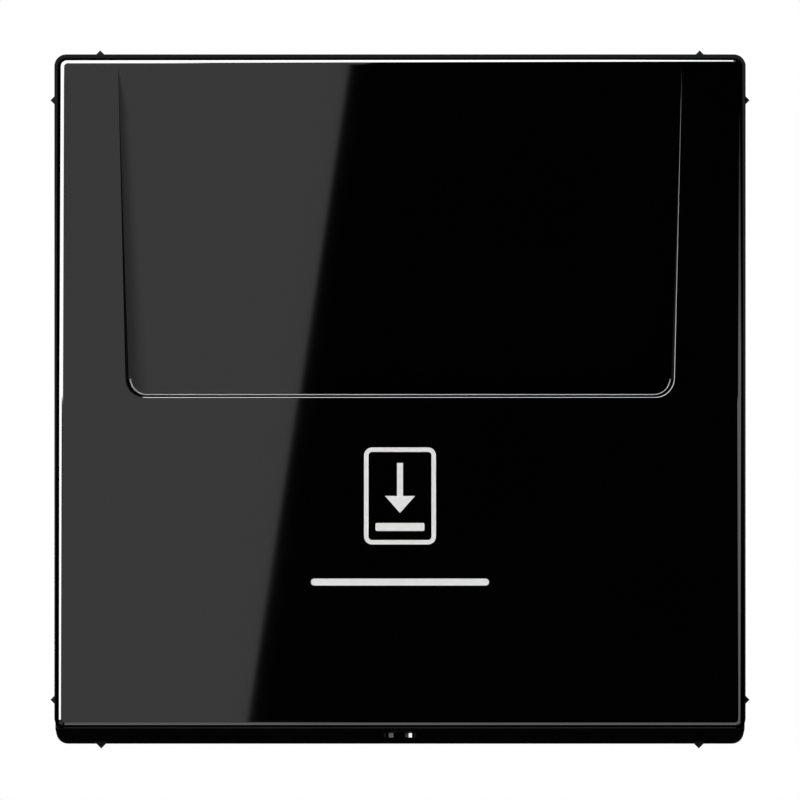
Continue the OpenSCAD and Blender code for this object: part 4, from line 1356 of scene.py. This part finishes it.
@dataclass
class Terminals:
    """Copper strips, clamp springs and release keys of the three connections."""

    # Places of the three conductors, across and up
    places: dict[str, tuple[float, float]] = field(default_factory=lambda: {
        "line": (0.0, 12.0), "load": (12.0, -9.0), "neutral": (-12.0, -9.0)})
    leaf_w: float = 5.0
    leaf_t: float = 0.4
    # The leg stands this far below the conductor, and the tongue ends above its middle
    leg_down: float = 6.6
    tip_up: float = 1.2
    foot_z: float = -19.4
    bend_z: float = -12.5
    tip_z: float = -16.9
    bend_r: float = 1.0
    bend_angles: tuple[float, float] = (180.0, 60.0)
    # The tongue gives way to the key between these heights below the conductor
    give_from: float = 5.1
    give_to: float = 1.42
    steps: int = 14

    def leaf_line(self, up: float) -> list[Vector]:
        """Return the middle line of a clamp spring.

        Args:
            up: Height of the conductor.

        Returns:
            Points of the leg, the bend and the tongue.
        """
        share = [i / self.steps for i in range(self.steps + 1)]
        first, last = (math.radians(a) for a in self.bend_angles)
        centre = Vector((0, up - self.leg_down + self.bend_r, self.bend_z))
        turns = [first + (last - first) * s for s in share]
        bend = [centre + Vector((0, math.cos(a), math.sin(a))) * self.bend_r for a in turns]
        foot = Vector((0, up - self.leg_down, self.foot_z))
        tip = Vector((0, up + self.tip_up, self.tip_z))
        return [foot] + bend[:-1] + [bend[-1].lerp(tip, s) for s in share]

    def leaf(self, name: str) -> bpy.types.Object:
        """Bend the strip of a clamp spring.

        Args:
            name: Name of its connection.

        Returns:
            The piece.
        """
        across, up = self.places[name]
        line = self.leaf_line(up)
        work = Patchwork()
        edge = Vector((1, 0, 0))
        behind, ahead = line[:1] + line[:-1], line[1:] + line[-1:]
        ways = [(b - a).normalized() for a, b in zip(behind, ahead)]
        rails: list[list[Vector]] = []
        for facing, side in ((1, -1), (1, 1), (-1, 1), (-1, -1)):
            shift = edge * (across + side * self.leaf_w / 2)
            rails.append([p + shift + edge.cross(w) * facing * self.leaf_t / 2 for p, w in zip(line, ways)])
        for k, (low, high) in enumerate(zip(rails, rails[1:] + rails[:1])):
            faces = [(edge.cross(w), edge, -edge.cross(w), -edge)[k] for w in ways]
            work.strip(list(zip(low, faces)), list(zip(high, faces)), 0)
        for i, facing in ((0, -ways[0]), (-1, ways[-1])):
            work.face([(rail[i], facing) for rail in rails], 0)
        return work.piece(f"{name}_leaf", (WIRE,))

    def build(self) -> None:
        """Build the clamp springs, which take the place of the CAD ones."""
        for name, (_, up) in self.places.items():
            leaf = self.leaf(name)
            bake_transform(leaf)
            declare(leaf, Slot.SPRING_STEEL, f"{name}_clamp_spring")

    def dress(self) -> None:
        """Finish the strips and the keys."""
        for name in self.places:
            paint(COPPER, f"{name}_terminal")
            paint(ORANGE, f"{name}_release_key")


# Studio

@dataclass(frozen=True)
class Card:
    """A glowing or black card of the studio, placed where the cover's rounded edges mirror it."""

    name: str
    # Turn of the mirroring spot at the card's first and last side in degrees, and its shift across in radians
    turns: tuple[float, float]
    spread: tuple[float, float]
    # Least and most tilt of the mirroring spot at these sides, in degrees
    first: tuple[float, float]
    last: tuple[float, float]
    # Light at these sides
    levels: tuple[float, float]
    # Distance as a share of the studio's radius
    away: float = 1.0
    steps: int = 16


@dataclass
class Studio:
    """Camera, world, floor, lamps and the cards that the gloss mirrors."""

    camera_y: float = -0.6056
    lens: float = 266.65
    sensor_w: float = 36.0
    clip_start: float = 0.01
    world_level: float = 0.65
    floor_z: float = -0.12
    floor_r: float = 0.8
    floor_steps: int = 64
    # Name, place, width and power in watts of each lamp
    lamps: tuple[tuple[str, tuple[float, float, float], float, float], ...] = (
        ("key_lamp", (-0.4, -1.6, 0.9), 1.0, 14.0), ("rear_lamp", (1.0, 1.4, 1.0), 1.2, 12.0))
    card_r: float = 30.0
    face_tilt: float = FACE_TILT
    cards: tuple[Card, ...] = (
        Card("left_bar_high", (180, 180), (-0.075, 0.0), (2.0, 30), (14.3, 33.2), (25.0, 25.0)),
        Card("left_bar_low", (180, 180), (0.0, 0.075), (14.3, 33.2), (10.4, 24.5), (25.0, 25.0)),
        Card("top_bar", (90, 90), (-0.0377, 0.075), (24.6, 42), (9.0, 34.5), (25.0, 25.0)),
        Card("top_bar_end", (90, 90), (-0.075, -0.0377), (29.5, 32.6), (24.6, 42), (25.0, 25.0)),
        Card("corner_card_left", (95, 180), (0.0, 0.0), (11.3, 35.6), (4.5, 31), (25.0, 25.0)),
        Card("right_bar", (0, 0), (-0.08, 0.008), (2.0, 14), (15, 39), (2.45, 2.45)),
        Card("right_bar_fade", (0, 0), (0.008, 0.05), (15, 39), (30, 38), (2.45, 0.0)),
        Card("bottom_bar", (270, 270), (-0.075, 0.075), (7.6, 25.5), (7.6, 25.5), (2.45, 2.45)),
        Card("corner_card_right", (270, 360), (0.0, 0.0), (8.2, 25.5), (6.5, 20), (2.45, 2.45)),
        Card("bottom_dim_bar", (270, 270), (-0.075, 0.075), (45, 60), (45, 60), (0.28, 0.28)),
        Card("window_left_edge", (197, 217), (0.0, 0.0), (13, 33), (13, 33), (0.0, 1.0), away=1.05),
        Card("window_left", (217, 256), (0.0, 0.0), (13, 33), (13, 33), (1.0, 0.0), away=1.05),
        Card("window_right_edge", (343, 323), (0.0, 0.0), (13, 33), (13, 33), (0.0, 1.0), away=1.05),
        Card("window_right", (323, 284), (0.0, 0.0), (13, 33), (13, 33), (1.0, 0.0), away=1.05),
        Card("black_ring", (150, 425), (0.0, 0.0), (8, 58), (8, 58), (0.0, 0.0), away=1.1, steps=40),
        Card("black_ring_top", (65, 150), (0.0, 0.0), (40, 58), (40, 58), (0.0, 0.0), away=1.1),
    )
    # Corners of the black flag in front, as elevation and azimuth in degrees
    flag: tuple[tuple[float, float], ...] = (
        (-5.0, -1.75), (4.6, -0.295), (5.9, -1.676), (13.48, -0.508), (14.4, -0.37), (50.0, -0.3),
        (50.0, 28.0), (-5.0, 28.0))
    flag_away: float = 1.4
    # Dark card in the plane of the wall: half its width at the rims of its grey and of its black part
    shade_y: float = 0.002
    shade_grey: tuple[float, float] = (35.5, 39.0)
    shade_black: tuple[float, float] = (39.0, 95.0)
    shade_level: float = 0.03

    def put(self, name: str, points: Sequence[Vector], faces: Sequence[Sequence[int]],
            finish: Finish) -> bpy.types.Object:
        """Make a stage object.

        Args:
            name: Its name.
            points: Its points.
            faces: Its faces.
            finish: Its finish.

        Returns:
            The object.
        """
        mesh = bpy.data.meshes.new(name)
        mesh.from_pydata(points, [], faces)
        mesh.materials.append(finish.material())
        made = link(name, mesh)
        return made

    def hang(self, name: str, points: Sequence[Vector], faces: Sequence[Sequence[int]],
             levels: Sequence[float]) -> None:
        """Hang a card that shows in reflections alone.

        Args:
            name: Its name.
            points: Its points.
            faces: Its faces.
            levels: Level of its light at each point.
        """
        card = self.put(name, points, faces, CardGlow("studio_card"))
        card.data.attributes.new("level", "FLOAT", "POINT").data.foreach_set("value", levels)
        card.visible_camera = card.visible_diffuse = card.visible_transmission = False
        card.visible_shadow = card.visible_volume_scatter = False

    def mirrored(self, tilt: float, turn: float, aside: float) -> Vector:
        """Find where a spot of the rounded edge sends the camera's view.

        Args:
            tilt: Angle between the spot's normal and the face's, in degrees.
            turn: Turn of the spot's outward direction, in degrees.
            aside: Shift across the plane of reflection, in radians.

        Returns:
            A point on the studio's sphere.
        """
        a, t = math.radians(tilt), math.radians(turn)
        face = Vector((0, -math.cos(self.face_tilt), math.sin(self.face_tilt)))
        up = Vector((0, math.sin(self.face_tilt), math.cos(self.face_tilt)))
        right = Vector((1, 0, 0))
        normal = face * math.cos(a) + (right * math.cos(t) + up * math.sin(t)) * math.sin(a)
        view = Vector((0, 1, 0))
        way = view - 2 * view.dot(normal) * normal
        return (way + (up * math.cos(t) - right * math.sin(t)) * aside).normalized() * self.card_r

    def hang_card(self, card: Card) -> None:
        """Hang one card of the studio's sphere.

        Args:
            card: The card.
        """
        points, levels, faces = [], [], []
        row = card.steps + 1
        for i in range(row):
            for k in range(row):
                share = k / card.steps
                turn, aside, low, high, level = (a + (b - a) * share for a, b in (
                    card.turns, card.spread, (card.first[0], card.last[0]), (card.first[1], card.last[1]),
                    card.levels))
                points.append(self.mirrored(low + (high - low) * i / card.steps, turn, aside) * card.away)
                levels.append(level)
        for i in range(card.steps):
            for k in range(card.steps):
                faces.append((i * row + k, i * row + k + 1, (i + 1) * row + k + 1, (i + 1) * row + k))
        self.hang(card.name, points, faces, levels)

    def hang_flag(self) -> None:
        """Hang the black flag that darkens the right of the plate."""
        corners = []
        for up, across in self.flag:
            e, a = math.radians(up), math.radians(across)
            way = Vector((math.sin(a) * math.cos(e), -math.cos(a) * math.cos(e), math.sin(e)))
            corners.append(way * self.card_r * self.flag_away)
        self.hang("black_flag", corners, tessellate_polygon([corners]), [0.0] * len(corners))

    def hang_shade(self) -> None:
        """Lay the dark card in the plane of the wall, which the outer walls and the foot mirror."""
        points, levels, faces = [], [], []
        corners = ((1, 1), (-1, 1), (-1, -1), (1, -1))
        count = len(corners)
        for rims, level in ((self.shade_grey, self.shade_level), (self.shade_black, 0.0)):
            inner = len(points)
            outer = inner + count
            for rim in rims:
                points += [Vector((x * rim * MM, self.shade_y, z * rim * MM)) for x, z in corners]
                levels += [level] * count
            for k in range(count):
                j = (k + 1) % count
                faces.append((inner + k, inner + j, outer + j, outer + k))
        self.hang("shade_card", points, faces, levels)

    def shine(self, name: str, place: tuple[float, float, float], width: float, power: float) -> None:
        """Set up a soft lamp that looks at the object.

        Args:
            name: Its name.
            place: Where it stands.
            width: Width of its square.
            power: Its power in watts.
        """
        data = bpy.data.lights.new(name, "AREA")
        data.size, data.energy = width, power
        lamp = link(name, data)
        lamp.location = place
        lamp.rotation_euler = (-Vector(place)).to_track_quat("-Z", "Y").to_euler()
        lamp.visible_glossy = False

    def light_world(self) -> None:
        """Make the world white to the eye and to mirrors, and a little dimmer as a light."""
        world = bpy.data.worlds.new("white_room")
        world.use_nodes = True
        world.node_tree.nodes.clear()
        graph = NodeGraph(world.node_tree)
        path = graph.add("ShaderNodeLightPath").outputs
        seen = graph.math("MAXIMUM", path["Is Camera Ray"], path["Is Glossy Ray"])
        seen = graph.math("MAXIMUM", seen, path["Is Transmission Ray"])
        back = graph.add("ShaderNodeBackground", {
            "Color": (1, 1, 1, 1), "Strength": graph.between(seen, self.world_level, 1.0)})
        graph.add("ShaderNodeOutputWorld", {"Surface": back.outputs[0]})
        bpy.context.scene.world = world

    def build(self) -> None:
        """Set up the camera, the floor, the light and the cards."""
        scene = bpy.context.scene
        scene.view_settings.view_transform = "Standard"
        data = bpy.data.cameras.new("camera")
        data.lens, data.sensor_width, data.clip_start = self.lens, self.sensor_w, self.clip_start
        camera = link("camera", data)
        camera.location = (0, self.camera_y, 0)
        camera.rotation_euler = (math.pi / 2, 0, 0)
        scene.camera = camera
        self.light_world()
        turns = [math.tau * i / self.floor_steps for i in range(self.floor_steps)]
        middle = Vector((0, 0, self.floor_z))
        rim = [middle + Vector((math.cos(a), math.sin(a), 0)) * self.floor_r for a in turns]
        pale = MouldedPlastic("pale_floor", "#ececec", "#e6e6e6", roughness=0.9, specular=0.1, cloud_mm=200.0,
                              grain_depth_mm=0.0)
        floor = self.put("floor", rim, [list(range(self.floor_steps))], pale)
        # Mirrors show the white room and its cards below the floor too
        floor.visible_glossy = False
        for lamp in self.lamps:
            self.shine(*lamp)
        for card in self.cards:
            self.hang_card(card)
        self.hang_flag()
        self.hang_shade()


def main() -> None:
    """Set up the studio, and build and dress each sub-assembly."""
    logging.basicConfig(level=logging.INFO, format="%(name)s: %(message)s")
    Studio().build()
    cover, light, insert, terminals = FrontCover(), OrientationLight(), SwitchInsert(), Terminals()
    for assembly in (cover, CardSign(cover), light, insert, terminals):
        assembly.build()
    for assembly in (cover, CardLever(), light, insert, terminals):
        assembly.dress()


if __name__ == "__main__":
    main()
